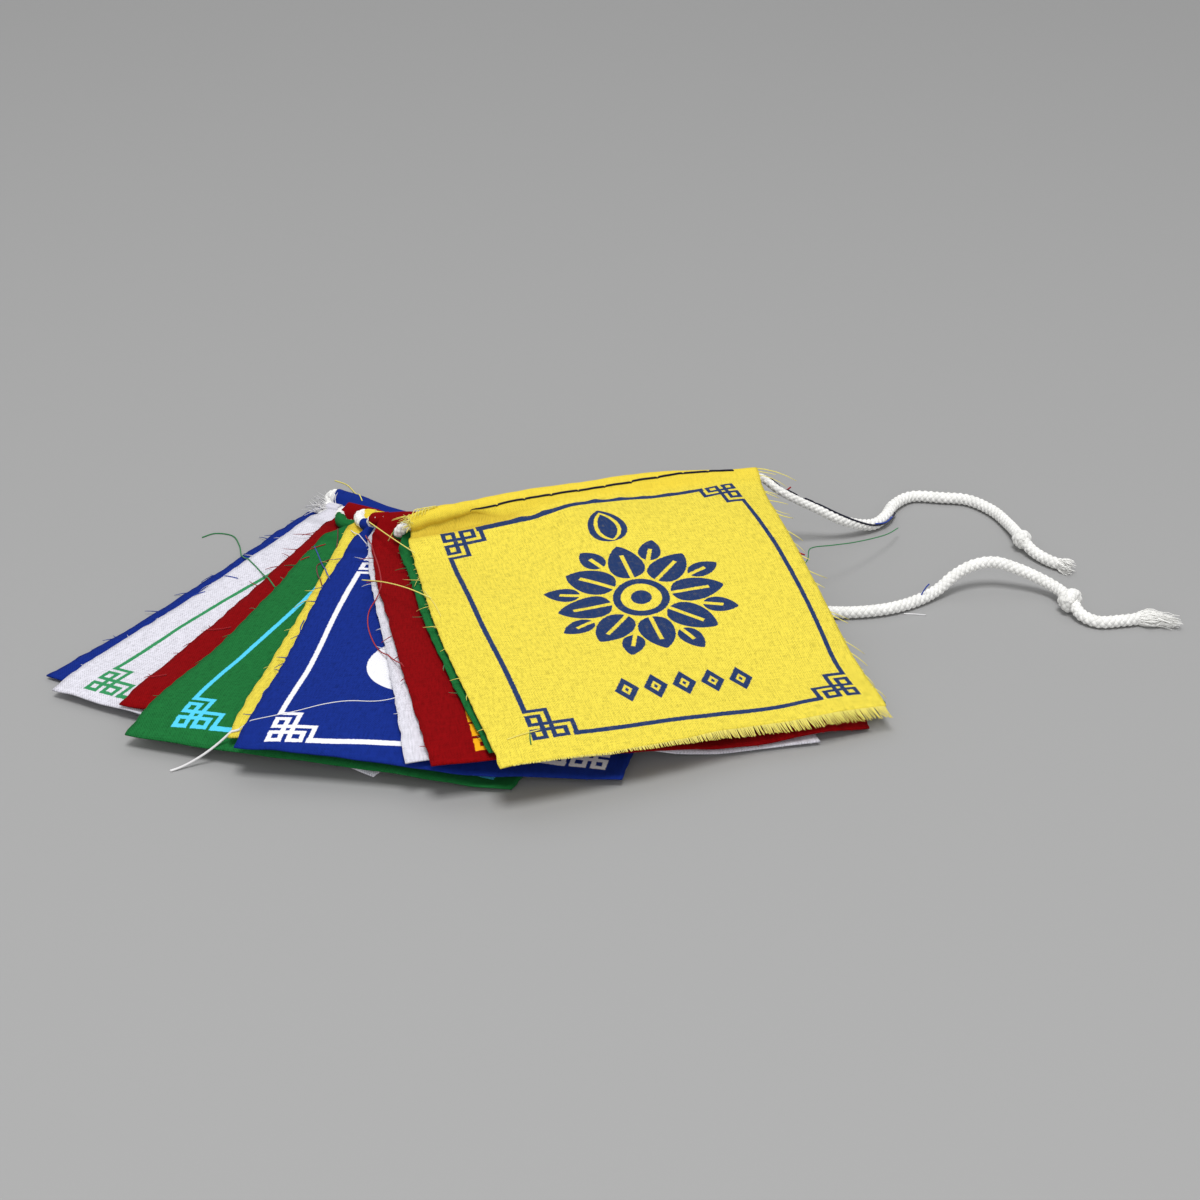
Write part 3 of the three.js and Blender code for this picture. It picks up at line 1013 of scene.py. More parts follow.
class Drape:
    """The shape in which a flag lies, read from its solid, in millimetres."""

    INSET = 0.004

    def __init__(self, plan: FlagPlan, solid: Bed) -> None:
        """Reads the heights of the sheet and of its hem.

        Args:
            plan: the flag.
            solid: the flag's solid alone.
        """
        self.plan = plan
        self.sheet: list[list[float]] = []
        self.base: list[float] = []
        self.roll: list[float] = []
        for column in range(LATTICE + 1):
            a = min(max(column / LATTICE, self.INSET), 1 - self.INSET)
            middle = plan.spot(a, 0)
            floor = solid.under(middle.x, middle.y) / MM
            self.base.append(floor)
            self.roll.append(solid.top(middle.x, middle.y) / MM - floor)
            heights = []
            for row in range(LATTICE + 1):
                s = min(blend(SEAM, plan.drop(a), row / LATTICE), plan.drop(a) - 0.3)
                place = plan.spot(a, s)
                heights.append(solid.top(place.x, place.y) / MM - WEB / 2)
            self.sheet.append(heights)

    def height(self, a: float, t: float) -> float:
        """Reads the height of the middle of the sheet.

        Args:
            a: share of the width.
            t: share of the way from the seam to the bottom.

        Returns:
            The height above the table.
        """
        spot = min(max(a, 0.0), 1.0) * LATTICE
        k = min(int(spot), LATTICE - 1)
        inside = [0 <= j <= LATTICE for j in range(k - 1, k + 3)]
        four = [cubic(self.sheet[k - 1 + j], t) if here else None for j, here in enumerate(inside)]
        return span(four, spot - k)


class Side(Enum):
    """The raw edges of a flag."""

    LEFT = "left"
    RIGHT = "right"
    BOTTOM = "bottom"


@dataclass
class Flag:
    """One flag: a thin sheet whose top edge is rolled over the cord, with frayed raw edges."""

    plan: FlagPlan
    columns: int = 60
    rows: int = 72
    hem_rows: int = 18

    UNDONE = (0.4, 3.7)  # weave undone at the top flag's bottom left, how much more at its right
    SHORT = 0.2  # how far any cloth ends above its solid's bottom edge
    TWISTED = (0.16, 0.27)  # shares of the top flag's width over which its twisted hem opens out
    TWISTED_SEAM = 1.5  # where a twisted hem meets the sheet, below its middle
    TWIST = 4.6  # from ridge to ridge along a twisted hem
    RAGGED = 0.3  # how far a raw edge wanders
    ROLL = (
        # millimetres in front of the hem's middle, share of its height: from the seam to the foot
        (3.4, 0.0), (2.75, 0.28), (2.15, 0.56), (1.4, 0.82), (0.5, 0.97), (-0.4, 1.0),
        (-1.2, 0.84), (-1.65, 0.5), (-1.35, 0.2), (-0.4, 0.04), (1.2, 0.03), (2.9, 0.0),
    )

    def __post_init__(self) -> None:
        """Reads the flag's solid."""
        self.name = f"{self.plan.node}_cloth"
        self.is_top = self.plan is PLANS[-1]
        self.drape = Drape(self.plan, Bed(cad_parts[self.plan.node]))
        self.creases = [crease for crease in CREASES if crease.flag == self.plan.number]
        self.curve = [Vector(point) for point in self.ROLL]
        self.outline = OUTLINES[self.plan.number]

    def undone(self, a: float) -> float:
        """How much of the weave has come undone at the bottom edge, in millimetres."""
        least, more = self.UNDONE
        return least + more * ramp(a, 0.05, 1.0) if self.is_top else 0.0

    def cut(self, a: float) -> float:
        """How far the cloth ends above its solid's bottom edge, in millimetres."""
        return self.SHORT + self.undone(a) + cubic(self.outline.bottom, a)

    def strayed(self, a: float, s: float) -> float:
        """The share of the solid's width at which a point of the cloth lies."""
        share = (s - SEAM) / (self.plan.drop(a) - SEAM)
        return a + self.outline.shift(a, share) / self.plan.width

    def seam(self, a: float) -> float:
        """Where the flat sheet ends and the hem begins, in millimetres below the hem's middle."""
        return blend(SEAM, self.TWISTED_SEAM, self.twist(a))

    def below(self, a: float, q: float) -> float:
        """Millimetres below the hem's middle, by a share of the way from the bottom to the seam."""
        return blend(self.plan.drop(a) - self.cut(a), self.seam(a), q)

    def sheet_point(self, a: float, s: float) -> Vector:
        """A point of the flat sheet.

        Args:
            a: share of the width.
            s: millimetres below the middle of the hem.

        Returns:
            The point, in metres.
        """
        plan = self.plan
        share = (s - SEAM) / (plan.drop(a) - SEAM)
        strayed = self.strayed(a, s)
        point = plan.spot(strayed, s)
        if a in (0.0, 1.0):
            ragged = self.RAGGED * noise.noise(Vector((s * 0.45, plan.number * 3.1, 5 * a)))
            point += plan.along * ragged * MM
        return point + UP * (self.drape.height(strayed, share) + self.relief(a, s)) * MM

    def twist(self, a: float) -> float:
        """How much the hem is twisted into a round roll, from 0 to 1."""
        return 1 - ramp(a, *self.TWISTED) if self.is_top else 0.0

    def relief(self, a: float, s: float) -> float:
        """Adds up small creases and unevenness on the sheet.

        Args:
            a: share of the width.
            s: millimetres below the middle of the hem.

        Returns:
            Their height, in millimetres.
        """
        plan = self.plan
        spot = Vector((a * plan.width * 0.075, s * 0.075, plan.number * 7.3))
        uneven = 0.16 * noise.noise(spot) + 0.06 * noise.noise(spot * 3.1)
        rim = min(a, 1 - a) * plan.width
        edge = min(rim, plan.drop(a) - s)
        ripple = 0.3 * noise.noise(Vector((a * plan.width * 0.16, s * 0.16, 40 + plan.number)))
        total = uneven + ripple * (1 - ramp(edge, 0, 5))
        total += sum(crease.height(plan, a, s) for crease in self.creases)
        if self.is_top:
            rise = 0.1 + 0.25 * ramp(a, 0.12, 0.3) + 0.45 * ramp(a, 0.8, 0.95)
            total += rise * (1 - ramp(s, 3.0, 12)) - 0.5 * self.twist(a) * (1 - ramp(s, 1.5, 5))
        return total

    def place(self, a: float, q: float) -> Vector:
        """A point of the cloth.

        Args:
            a: share of the width.
            q: share of the way from the bottom to the seam, then from 1 to 2 round the hem.

        Returns:
            The point, in metres.
        """
        drape, plan = self.drape, self.plan
        if q <= 1:
            return self.sheet_point(a, self.below(a, q))
        s, share = cubic(self.curve, q - 1)
        base = cubic(drape.base, a) + WEB / 2
        top = cubic(drape.base, a) + cubic(drape.roll, a) - WEB / 2
        top += self.outline.lift * (1 - ramp(a, 0.15, 0.45))
        if self.is_top:
            top += 0.95 * ramp(a, -0.02, 0.08) - 0.3 * ramp(a, 0.6, 1.0)
        front = min(max(s / SEAM, 0.0), 1.0)
        floor = blend(base, drape.height(a, 0) + self.relief(a, SEAM), front)
        uneven = 0.1 * share * noise.noise(Vector((a * plan.width * 0.4, q * 3, plan.number)))
        z = blend(floor, top, share) + uneven
        twist = self.twist(a)
        if twist > 0:
            angle = math.pi * blend(-0.24, 1.5, q - 1)
            ridge = math.sin(2 * math.pi * a * plan.width / self.TWIST + 2 * angle)
            fat = blend(1.75, 1.2, ramp(a, 0.07, 0.19))
            radius = fat * (1 + 0.05 * ridge)
            s = blend(s, radius * math.cos(angle) - 0.4, twist)
            z = blend(z, top - fat + radius * math.sin(angle), twist)
        return plan.spot(self.strayed(a, s), s) + UP * z * MM

    def chart(self, a: float, q: float) -> Spot:
        """Finds a point's place in the chart, which holds the print's own millimetres.

        Args:
            a: share of the width.
            q: as in place.

        Returns:
            The place.
        """
        s = self.below(a, q) if q <= 1 else SEAM - HEM * (q - 1)
        x, y = LAYS.get(self.plan.number, PrintLay()).chart(self.strayed(a, s), s)
        return (x + CHART_LEFT) / CHART_WIDE, (y + CHART_TOP) / CHART_TALL

    def build(self, over: Finish, under: Finish) -> Piece:
        """Makes the cloth.

        Args:
            over: finish of the side that lies upwards.
            under: finish of the other side.

        Returns:
            The piece.
        """
        rows = self.rows + self.hem_rows
        seam = self.rows / rows

        def share(q: float) -> float:
            """From the grid's share to the cloth's."""
            return q / seam if q <= seam else 1 + (q - seam) / (1 - seam)

        loom = Loom()
        loom.grid(self.columns, rows, lambda a, q: self.place(a, share(q)),
                  lambda a, q: self.chart(a, share(q)))
        piece = loom.piece(self.name, over, under, sealed=False)
        wall = piece.modifiers.new("web", "SOLIDIFY")
        wall.thickness = WEB * MM
        wall.offset = 0
        wall.material_offset = 1
        return piece

    def edge(self, side: Side, share: float) -> tuple[Vector, Vector]:
        """A point on a raw edge and the way out from it.

        Args:
            side: which edge.
            share: how far along it.

        Returns:
            The point and the level direction in which threads stand out.
        """
        if side is Side.BOTTOM:
            return self.place(share, 0.0), self.plan.down
        a = 0.0 if side is Side.LEFT else 1.0
        return self.place(a, share), self.plan.along * (2 * a - 1)


@dataclass(frozen=True)
class Fray:
    """Threads that stand out along a raw edge."""

    side: Side
    start: float
    end: float
    count: int
    shortest: float
    longest: float
    scatter: float
    lean: float = 0.0  # how much they point down the flag
    rise: float = 0.0  # how much they point upwards

    ROOT = 0.6  # how far inside the cloth each begins
    LENGTHS = (0.55, 1.15)  # how much their lengths differ, as shares
    DROOP = (-0.05, 0.3)
    THICK = (0.12, 0.19)  # radius of a thread

    def strands(self, flag: Flag, bed: Bed, loom: Loom, dice: random.Random) -> None:
        """Adds the threads to a mesh.

        Args:
            flag: whose edge it is.
            bed: what they may not sink into.
            loom: the mesh.
            dice: seeded chance.
        """
        for k in range(self.count):
            share = blend(self.start, self.end, (k + dice.random()) / self.count)
            root, out = flag.edge(self.side, share)
            sweep = out.cross(UP) * dice.gauss(0, self.scatter)
            way = (out + sweep + flag.plan.down * self.lean + UP * self.rise).normalized()
            curl = way.cross(UP) * dice.gauss(0, 0.3)
            growth = blend(self.shortest, self.longest, (k / self.count) ** 1.3)
            length = growth * dice.uniform(*self.LENGTHS) * MM
            droop = dice.uniform(*self.DROOP)
            thick = dice.uniform(*self.THICK) * MM
            path = []
            for step in range(5):
                reach = step / 4
                point = root + way * (length * reach - self.ROOT * MM)
                point += curl * (length * reach * reach)
                point.z += -droop * length * reach * reach
                if step > 1:
                    point.z = max(point.z, bed.top(point.x, point.y, root.z + 0.2 * MM) + thick)
                path.append(point)
            loom.tube(path, 3, lambda _, along, r=thick: r * (1 - 0.6 * along))


FRAYS = (
    Fray(Side.LEFT, 0.03, 0.97, 44, 0.4, 1.0, 0.5),
    Fray(Side.LEFT, 0.05, 0.95, 6, 2.0, 4.0, 0.7),
    Fray(Side.RIGHT, 0.03, 0.97, 40, 0.5, 1.2, 0.5),
    Fray(Side.BOTTOM, 0.02, 0.98, 60, 0.3, 0.9, 0.35),
)
TOP_FRAYS = (
    Fray(Side.LEFT, 0.03, 0.95, 50, 0.5, 1.1, 0.5),
    Fray(Side.LEFT, 0.1, 0.9, 8, 2.5, 4.5, 0.5),
    Fray(Side.RIGHT, 0.03, 0.97, 50, 1.0, 0.6, 0.3, 0.6),
    Fray(Side.RIGHT, 0.05, 0.97, 14, 4.6, 3.4, 0.2, 0.7, -0.45),
    Fray(Side.RIGHT, 1.2, 1.45, 3, 7.0, 10.5, 0.1, 0.5, 0.05),
    Fray(Side.RIGHT, 0.9, 0.97, 2, 5.5, 5.5, 0.1, 0.6),
    Fray(Side.LEFT, 1.15, 1.5, 16, 2.6, 4.2, 0.9),
    Fray(Side.BOTTOM, 0.02, 0.2, 30, 0.3, 0.6, 0.3),
)
FRAYS_OF = {
    9: (Fray(Side.LEFT, 1.05, 1.6, 90, 4.4, 6.4, 0.22, -0.25, 0.25),),
    5: (Fray(Side.LEFT, 0.25, 0.8, 5, 2.6, 3.6, 0.6, -0.5),),
    8: (Fray(Side.LEFT, 0.1, 0.95, 8, 2.6, 5.0, 0.6, 0.3),),
    10: (Fray(Side.LEFT, 0.05, 0.95, 36, 0.5, 1.1, 0.6, 0.5),
         Fray(Side.LEFT, 0.2, 0.9, 6, 3.0, 4.5, 0.5, 0.6)),
}


@dataclass(frozen=True)
class Comb:
    """The threads that are left at the top flag's bottom edge where the weave has come undone."""

    start: float = 0.03
    end: float = 0.997
    count: int = 340
    root: float = 0.8  # how far inside the cloth each begins

    LENGTHS = (0.92, 1.06)  # how much their lengths differ, as shares
    THICK = (0.11, 0.16)  # radius of a thread

    def strands(self, flag: Flag, loom: Loom, dice: random.Random) -> None:
        """Adds the threads to a mesh.

        Args:
            flag: whose edge it is.
            loom: the mesh.
            dice: seeded chance.
        """
        for k in range(self.count):
            a = blend(self.start, self.end, (k + dice.uniform(0.1, 0.9)) / self.count)
            loose = flag.undone(a)
            first = flag.plan.drop(a) - flag.cut(a) - self.root
            length = self.root + loose * dice.uniform(*self.LENGTHS)
            sway, rise = dice.gauss(0, 0.06) * loose, dice.uniform(0.0, 0.4) * loose / 4
            thick = dice.uniform(*self.THICK)
            path = []
            for step in range(5):
                t = step / 4
                point = flag.sheet_point(a, first + length * t)
                path.append(point + (flag.plan.along * sway + UP * rise) * (t * t * MM))
            loom.tube(path, 4, lambda _, along, r=thick: r * (1 - 0.5 * along) * MM)


def make_fringe(flag: Flag, bed: Bed, finish: Finish) -> Piece:
    """Makes the frayed threads along a flag's raw edges.

    Args:
        flag: whose edges they are.
        bed: what they may not sink into.
        finish: the threads' material.

    Returns:
        The piece.
    """
    loom, dice = Loom(), random.Random(flag.plan.number)
    for fray in (TOP_FRAYS if flag.is_top else FRAYS) + FRAYS_OF.get(flag.plan.number, ()):
        fray.strands(flag, bed, loom, dice)
    if flag.is_top:
        Comb().strands(flag, loom, dice)
    return loom.piece(f"{flag.plan.node}_fringe", finish)


@dataclass(frozen=True)
class Braid:
    """The woven skin of a round cord: two families of strands, over and under each other."""

    thick: float
    relief: float = 0.36

    def radius(self, around: float, along: float) -> float:
        """The skin's distance from the middle, in metres.

        Args:
            around: share of the way round.
            along: millimetres along the cord.

        Returns:
            The radius.
        """
        one = STRANDS * around + along / PITCH
        two = STRANDS * around - along / PITCH
        over, beside = (one, two) if (math.floor(one) + math.floor(two)) % 2 else (two, one)
        crown = math.sin(math.pi * (over % 1.0)) ** 0.6
        arch = 0.62 + 0.38 * math.sin(math.pi * (beside % 1.0))
        return (self.thick / 2 + self.relief * (crown * arch - 0.62)) * MM


@dataclass
class FreeEnd:
    """A free end of the cord: it leaves a hem, lies on the table and ends in a knot and a tuft."""

    name: str
    flag: FlagPlan
    route: tuple[tuple[float, float, float], ...]
    knot: int  # which place of the route the knot is at
    knot_wide: float
    tuft: float  # length of the loose fibres
    swell: Spot  # how much the tuft widens first, and how much it narrows after
    bend: float  # how far it curves to the viewer, as a share of its length
    strands: int
    slim: float = 1.0  # share of its thickness that is left where it leaves its hem
    sewn: bool = False  # whether a length of sewing thread still runs along it

    SINK = 4.0  # how far the cord goes on inside its hem
    SLIM = (14, 36)  # millimetres along it over which a slim start widens
    SEWN = (5, 44)  # and between which the sewing thread runs
    STITCH = 4.6  # from one dip of that thread to the next
    SEWING = 0.23  # its radius
    KNOT_TURNS = (
        # a strand's first and last turn round the cord, and its places along the cord there
        (-0.1, 1.25, -1.0, 0.95), (0.05, 0.55, 1.15, -1.1),
    )

    def girth(self, along: float) -> float:
        """The cord's thickness as a share, thin near its hem, by millimetres along it."""
        return blend(self.slim, 1.0, ramp(along, *self.SLIM))

    def build(self, finish: Finish, loose: Finish, sewing: Finish) -> list[Piece]:
        """Args:
            finish: the cord's material.
            loose: its loose fibres' material.
            sewing: the sewing thread's material.

        Returns:
            The cord and the pieces on it.
        """
        point, out = self.flag.mouth(1)
        bends = [point, point + out * CORD, *(Vector(place) for place in self.route)]
        drawn = bends[:1] + bends[2:] if self.slim < 1 else bends
        inside = smooth_path([point - out * self.SINK, *drawn], 0.2)
        braid = Braid(BRAID)
        length = path_length(inside)

        def skin(around: float, along: float) -> float:
            """The cord's radius for the shares around and along it."""
            return braid.radius(around, along * length) * self.girth(along * length)

        cord = rope(f"{self.name}_braid", finish, inside, 36, skin)
        extras = [self.make_knot(finish), self.make_tuft(loose)]
        for piece in (cord, *extras):
            settle(piece)
        if self.sewn:
            extras.append(self.make_sewing(inside, sewing))
            settle(extras[-1])
        path = [place * MM for place in inside]
        seen = [place * MM for place in smooth_path(bends, 4.0)]
        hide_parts(self.name)
        path_length(seen)
        [tuple(p) for p in path]
        return [cord, *extras]

    def make_sewing(self, line: Sequence[Vector], finish: Finish) -> Piece:
        """Makes the sewing thread that runs on from the hem along the cord, stitched in at first.

        Args:
            line: the middle of the cord, in millimetres.
            finish: the thread's material.

        Returns:
            The piece.
        """
        frames = carried_frames(line)
        gap = path_length(line) / (len(line) - 1)
        first, last = (round(place / gap) for place in self.SEWN)
        points = []
        for k in range(first, last, 3):
            along = k * gap
            turn = math.radians(blend(-45, 80, ramp(along, 12, 42)))
            side, _ = frames[k]
            out = UP * math.cos(turn) + side * math.sin(turn)
            under = ramp(math.sin(2 * math.pi * along / self.STITCH), 0.2, 0.6)
            dip = 0.5 * under * (1 - ramp(along, 17, 20))
            points.append(line[k] + out * (BRAID / 2 * self.girth(along) + 0.3 - dip))
        return rope(f"{self.name}_sewing", finish, points, 6, lambda _, along: self.SEWING * MM)

    def make_knot(self, finish: Finish) -> Piece:
        """Makes an overhand knot drawn tight: a wrap round the cord and a strand across it.

        Args:
            finish: the cord's material.

        Returns:
            The piece.
        """
        centre = Vector(self.route[self.knot])
        way = (Vector(self.route[self.knot + 1]) - Vector(self.route[self.knot - 1])).normalized()
        side = way.cross(UP).normalized()
        rise = side.cross(way)
        thick = 0.9 * BRAID
        reach = (self.knot_wide - thick) / 2
        braid = Braid(thick)
        loom = Loom()
        for first, last, back, fore in self.KNOT_TURNS:
            points = []
            for k in range(13):
                angle = 2 * math.pi * blend(first, last, k / 12)
                flat = side * math.cos(angle) + rise * math.sin(angle)
                points.append(centre + flat * reach + way * blend(back, fore, k / 12))
            line = smooth_path(points, 0.25)
            length = path_length(line)
            loom.tube([place * MM for place in line], 24,
                      lambda around, along, reach=length: braid.radius(around, along * reach))
        return loom.piece(f"{self.name}_knot", finish)

    def make_tuft(self, finish: Finish) -> Piece:
        """Makes the loose fibres past the cut end.

        Args:
            finish: the fibres' material.

        Returns:
            The piece.
        """
        dice = random.Random(len(self.route))
        end = Vector(self.route[-1])
        way = (end - Vector(self.route[-2])).normalized()
        side = way.cross(UP).normalized()
        wider, narrower = self.swell
        loom = Loom()
        for _ in range(self.strands):
            angle = 2 * math.pi * dice.random()
            ring = (side * math.cos(angle) + UP * math.sin(angle)) * math.sqrt(dice.random())
            length = self.tuft * dice.uniform(0.45, 1.0)
            thick = dice.uniform(0.08, 0.17)
            wave = side * dice.gauss(0, 0.1) + UP * dice.gauss(0, 0.06)
            points = []
            for step in range(8):
                t = step / 7
                reach = length * t / self.tuft
                swollen = 1 + wider * ramp(reach, 0, 0.4) - narrower * ramp(reach, 0.35, 1)
                girth = 0.44 * BRAID * swollen
                curve = side * (self.bend * length * t * t) + wave * (length * math.sin(5 * t))
                point = end + way * (length * t - 1.4) + ring * girth + curve
                point.z = max(point.z, thick + 0.05)
                points.append(point * MM)
            loom.tube(points, 5, lambda _, along, r=thick: r * (1 - 0.6 * along) * MM)
        return loom.piece(f"{self.name}_tuft", finish)


UPPER_ROUTE = (
    (65.3, 40.9, 12.9), (69.1, 41.2, 10.6), (73.2, 42, 8.2), (78.6, 43.1, 5), (83.5, 45.3, 2.6),
    (86.9, 47.7, 1.5), (89.8, 51.8, 1.4), (92.2, 57.4, 1.4), (96.6, 61.6, 1.4), (103.2, 61.1, 1.4),
    (109, 59.9, 1.4), (113.8, 54.6, 1.4), (116.7, 46.6, 1.6), (118.1, 38.2, 2.5),
    (119.9, 34.2, 1.7), (123, 30.2, 1.4), (125.7, 28.2, 1.4),
)
LOWER_ROUTE = (
    (38.9, 18.9, 1.4), (47.9, 14.4, 1.4), (59.9, 9.8, 1.4), (74.3, 7.6, 1.4), (80.1, 7.7, 1.4),
    (86.9, 9.4, 1.4), (92.9, 13, 1.4), (97.2, 16.4, 2), (100.7, 18.7, 4), (104.8, 20.5, 5.5),
    (109.3, 21, 6), (113.8, 20.2, 5), (118.2, 18.7, 3.6), (121.8, 15.9, 2.6), (123.9, 10, 2.8),
    (125.5, 5.8, 1.7), (128.5, 3.5, 1.4), (133.6, 4, 1.4), (137.9, 5, 1.4),
)
ENDS = (
    FreeEnd("cord_end_upper", PLANS[-1], UPPER_ROUTE, knot=13, knot_wide=4.0, tuft=3.6,
            swell=(0.6, 0.0), bend=0.1, strands=120, slim=0.72, sewn=True),
    FreeEnd("cord_end_lower", PLANS[0], LOWER_ROUTE, knot=14, knot_wide=5.0, tuft=8.5,
            swell=(0.6, 1.2), bend=0.4, strands=220),
)


@dataclass(frozen=True)
class CordTurn:
    """The cord's turn from the end of one hem to the end of the next."""

    lower: FlagPlan
    upper: FlagPlan
    end: int  # 0 at the hems' left ends, 1 at their right ends
    sleeves: Spot = (0.25, 0.25)  # shares that the lower and the upper hem's cloth covers
    tight: float = 0.6  # how far the turn stands out, as a share of its solid's reach

    STEPS = 8
    INSIDE = 2.5  # how far the turn's ends reach into the hems
    LOOSE = 1.28  # how much wider than the cord the cloth's sleeve is
    FOLD = 0.22  # how deep that sleeve's folds are

    @property
    def node(self) -> str:
        """The name of the turn's solid."""
        return f"cord_turn_{self.upper.number}_{self.lower.number}"

    def line(self) -> list[Vector]:
        """Follows the middle of the turn, its ends a little inside the hems.

        Returns:
            Its points, in millimetres.
        """
        hems = self.lower, self.upper
        (first, leave), (last, arrive) = (plan.mouth(self.end) for plan in hems)
        middle, half = (first + last) / 2, (first - last) / 2
        out = (leave + arrive).normalized()
        apart = (first - last).length
        reach = min(0.5 * apart, 2 + 0.15 * apart)  # its solid's
        solid = Bed(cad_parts[self.node])
        tip = (middle + out * reach) * MM
        lift = (solid.top(tip.x, tip.y) + solid.under(tip.x, tip.y)) / 2 / MM - middle.z
        pushed = [OUTLINES[plan.number].hem_end * (1 - self.end) for plan in hems]
        points = [first - leave * (self.INSIDE + pushed[0])]
        for k in range(self.STEPS + 1):
            angle = math.pi * k / self.STEPS
            swell = math.sin(angle)
            stand = reach * self.tight * swell - blend(*pushed, k / self.STEPS)
            points.append(middle + half * math.cos(angle) + out * stand + UP * (lift * swell**2))
        points.append(last - arrive * (self.INSIDE + pushed[1]))
        return smooth_path(points, 0.22)

    def build(self, finish: Finish) -> Piece:
        """Makes the turn of the cord.

        Args:
            finish: the cord's material.

        Returns:
            The piece.
        """
        line = self.line()
        length = path_length(line)
        braid = Braid(TURN_CORD + 0.1)
        return rope(f"{self.node}_braid", finish, line, 28,
                    lambda around, along: braid.radius(around, along * length))

    def sleeve(self, plan: FlagPlan, finish: Finish) -> Piece:
        """Makes the puckered end of a hem that reaches out over the turn.

        Args:
            plan: the lower or the upper flag.
            finish: that flag's cloth.

        Returns:
            The piece.
        """
        line = self.line()
        share = self.sleeves[0] if plan is self.lower else self.sleeves[1]
        count = max(6, round(len(line) * share))
        path = line[:count] if plan is self.lower else line[: -count - 1 : -1]
        length = path_length(path)

        def skin(around: float, along: float) -> float:
            """Folds the cloth round the cord, tighter to its lip.

            Args:
                around: share of the way round.
                along: share of the way to the lip.

            Returns:
                The cloth's radius there.
            """
            angle = 2 * math.pi * around
            depth = plan.number + along * length * 0.25
            folds = noise.noise(Vector((math.cos(angle), math.sin(angle), depth)))
            lip = 1 - 0.12 * ramp(along, 0.75, 1.0)
            return (TURN_CORD / 2 * self.LOOSE * lip + self.FOLD * folds) * MM

        return rope(f"{plan.node}_hem_end_{self.end}", finish, path, 20, skin)


TURNS = {
    # by the upper flag: how much cloth covers the turn, how far it stands out
    9: ((0.16, 0.2), 0.35),
    7: ((0.2, 0.55), 0.5),
    5: ((0.2, 0.3), 0.5),
    3: ((0.25, 0.45), 0.4),
    1: ((0.35, 0.2), 0.35),
}


class Yarn(Enum):
    """The colours of loose threads and of the sewing thread."""

    YELLOW = (0.90, 0.75, 0.16)
    GREEN = (0.02, 0.2, 0.06)
    RED = (0.36, 0.006, 0.012)
    MAROON = (0.12, 0.01, 0.014)
    WHITE = (0.84, 0.83, 0.84)
    BLUE = (0.02, 0.06, 0.38)
    NAVY = (0.006, 0.007, 0.022)


@dataclass(frozen=True)
class LooseThread:
    """A loose thread that lies on the flags or the table, through listed places."""

    name: str
    yarn: Yarn
    thick: float
    places: tuple[Spot, ...]
    heights: tuple[float, ...] = ()  # above the table, where it hangs free

    STEP = 0.8  # between its points
    SAG = 0.02  # how much each point hangs below its neighbours where nothing holds it
    PASSES = 30  # to settle it

    def build(self, bed: Bed, finish: Finish) -> Piece:
        """Lays the thread down.

        Args:
            bed: what it lies on.
            finish: its material.

        Returns:
            The piece.
        """
        free = self.heights or (0.0,) * len(self.places)
        flat = smooth_path([Vector((*spot, z)) for spot, z in zip(self.places, free)], self.STEP)
        heights = [bed.top(point.x * MM, point.y * MM) / MM for point in flat]
        spans = list(heights)
        for _ in range(self.PASSES):
            for k in range(1, len(spans) - 1):
                spans[k] = max(heights[k], (spans[k - 1] + spans[k + 1]) / 2 - self.SAG)
        if not self.heights:
            for point, height in zip(flat, spans):
                point.z = max(point.z, height + self.thick * 0.45)
        radius = self.thick / 2 * MM
        return rope(f"thread_{self.name}", finish, flat, 5, lambda _, along: radius)


BLUE_HAIRS = (
    ((-33, -10.6), (-33.4, -7.5), (-33, -4.4)),
    ((-35.2, -25.2), (-34.6, -22.6), (-35, -20.1)),
    ((-36.5, -32.2), (-35.9, -29.4), (-36, -26.8)),
    ((-37.6, -35.8), (-37.5, -34.0), (-36.9, -32.4)),
    ((-54.1, 22), (-51.8, 21.4), (-49.7, 20.2)),
    ((-58.8, 11.8), (-57.4, 13.6), (-55.8, 14.5)),
)
YELLOW_LOOPS = (
    ((-12.3, 17.6), (-12.1, 18.8), (-11.3, 19.3), (-10.5, 19.6)),
    ((-11.7, 18.0), (-11.4, 19.1), (-10.6, 19.5), (-9.8, 20.0)),
    ((-11.1, 18.4), (-10.8, 19.4), (-10.0, 19.8), (-9.2, 20.4)),
    ((-10.4, 18.8), (-10.1, 19.7), (-9.3, 20.0), (-8.5, 20.7)),
    ((-9.8, 19.2), (-9.5, 20.1), (-8.7, 20.2), (-7.9, 21.1)),
    ((-9.1, 19.7), (-8.8, 20.4), (-8.0, 20.5), (-7.3, 21.5)),
)
LOOP_HEIGHTS = (18.2, 19.0, 19.4, 18.8)
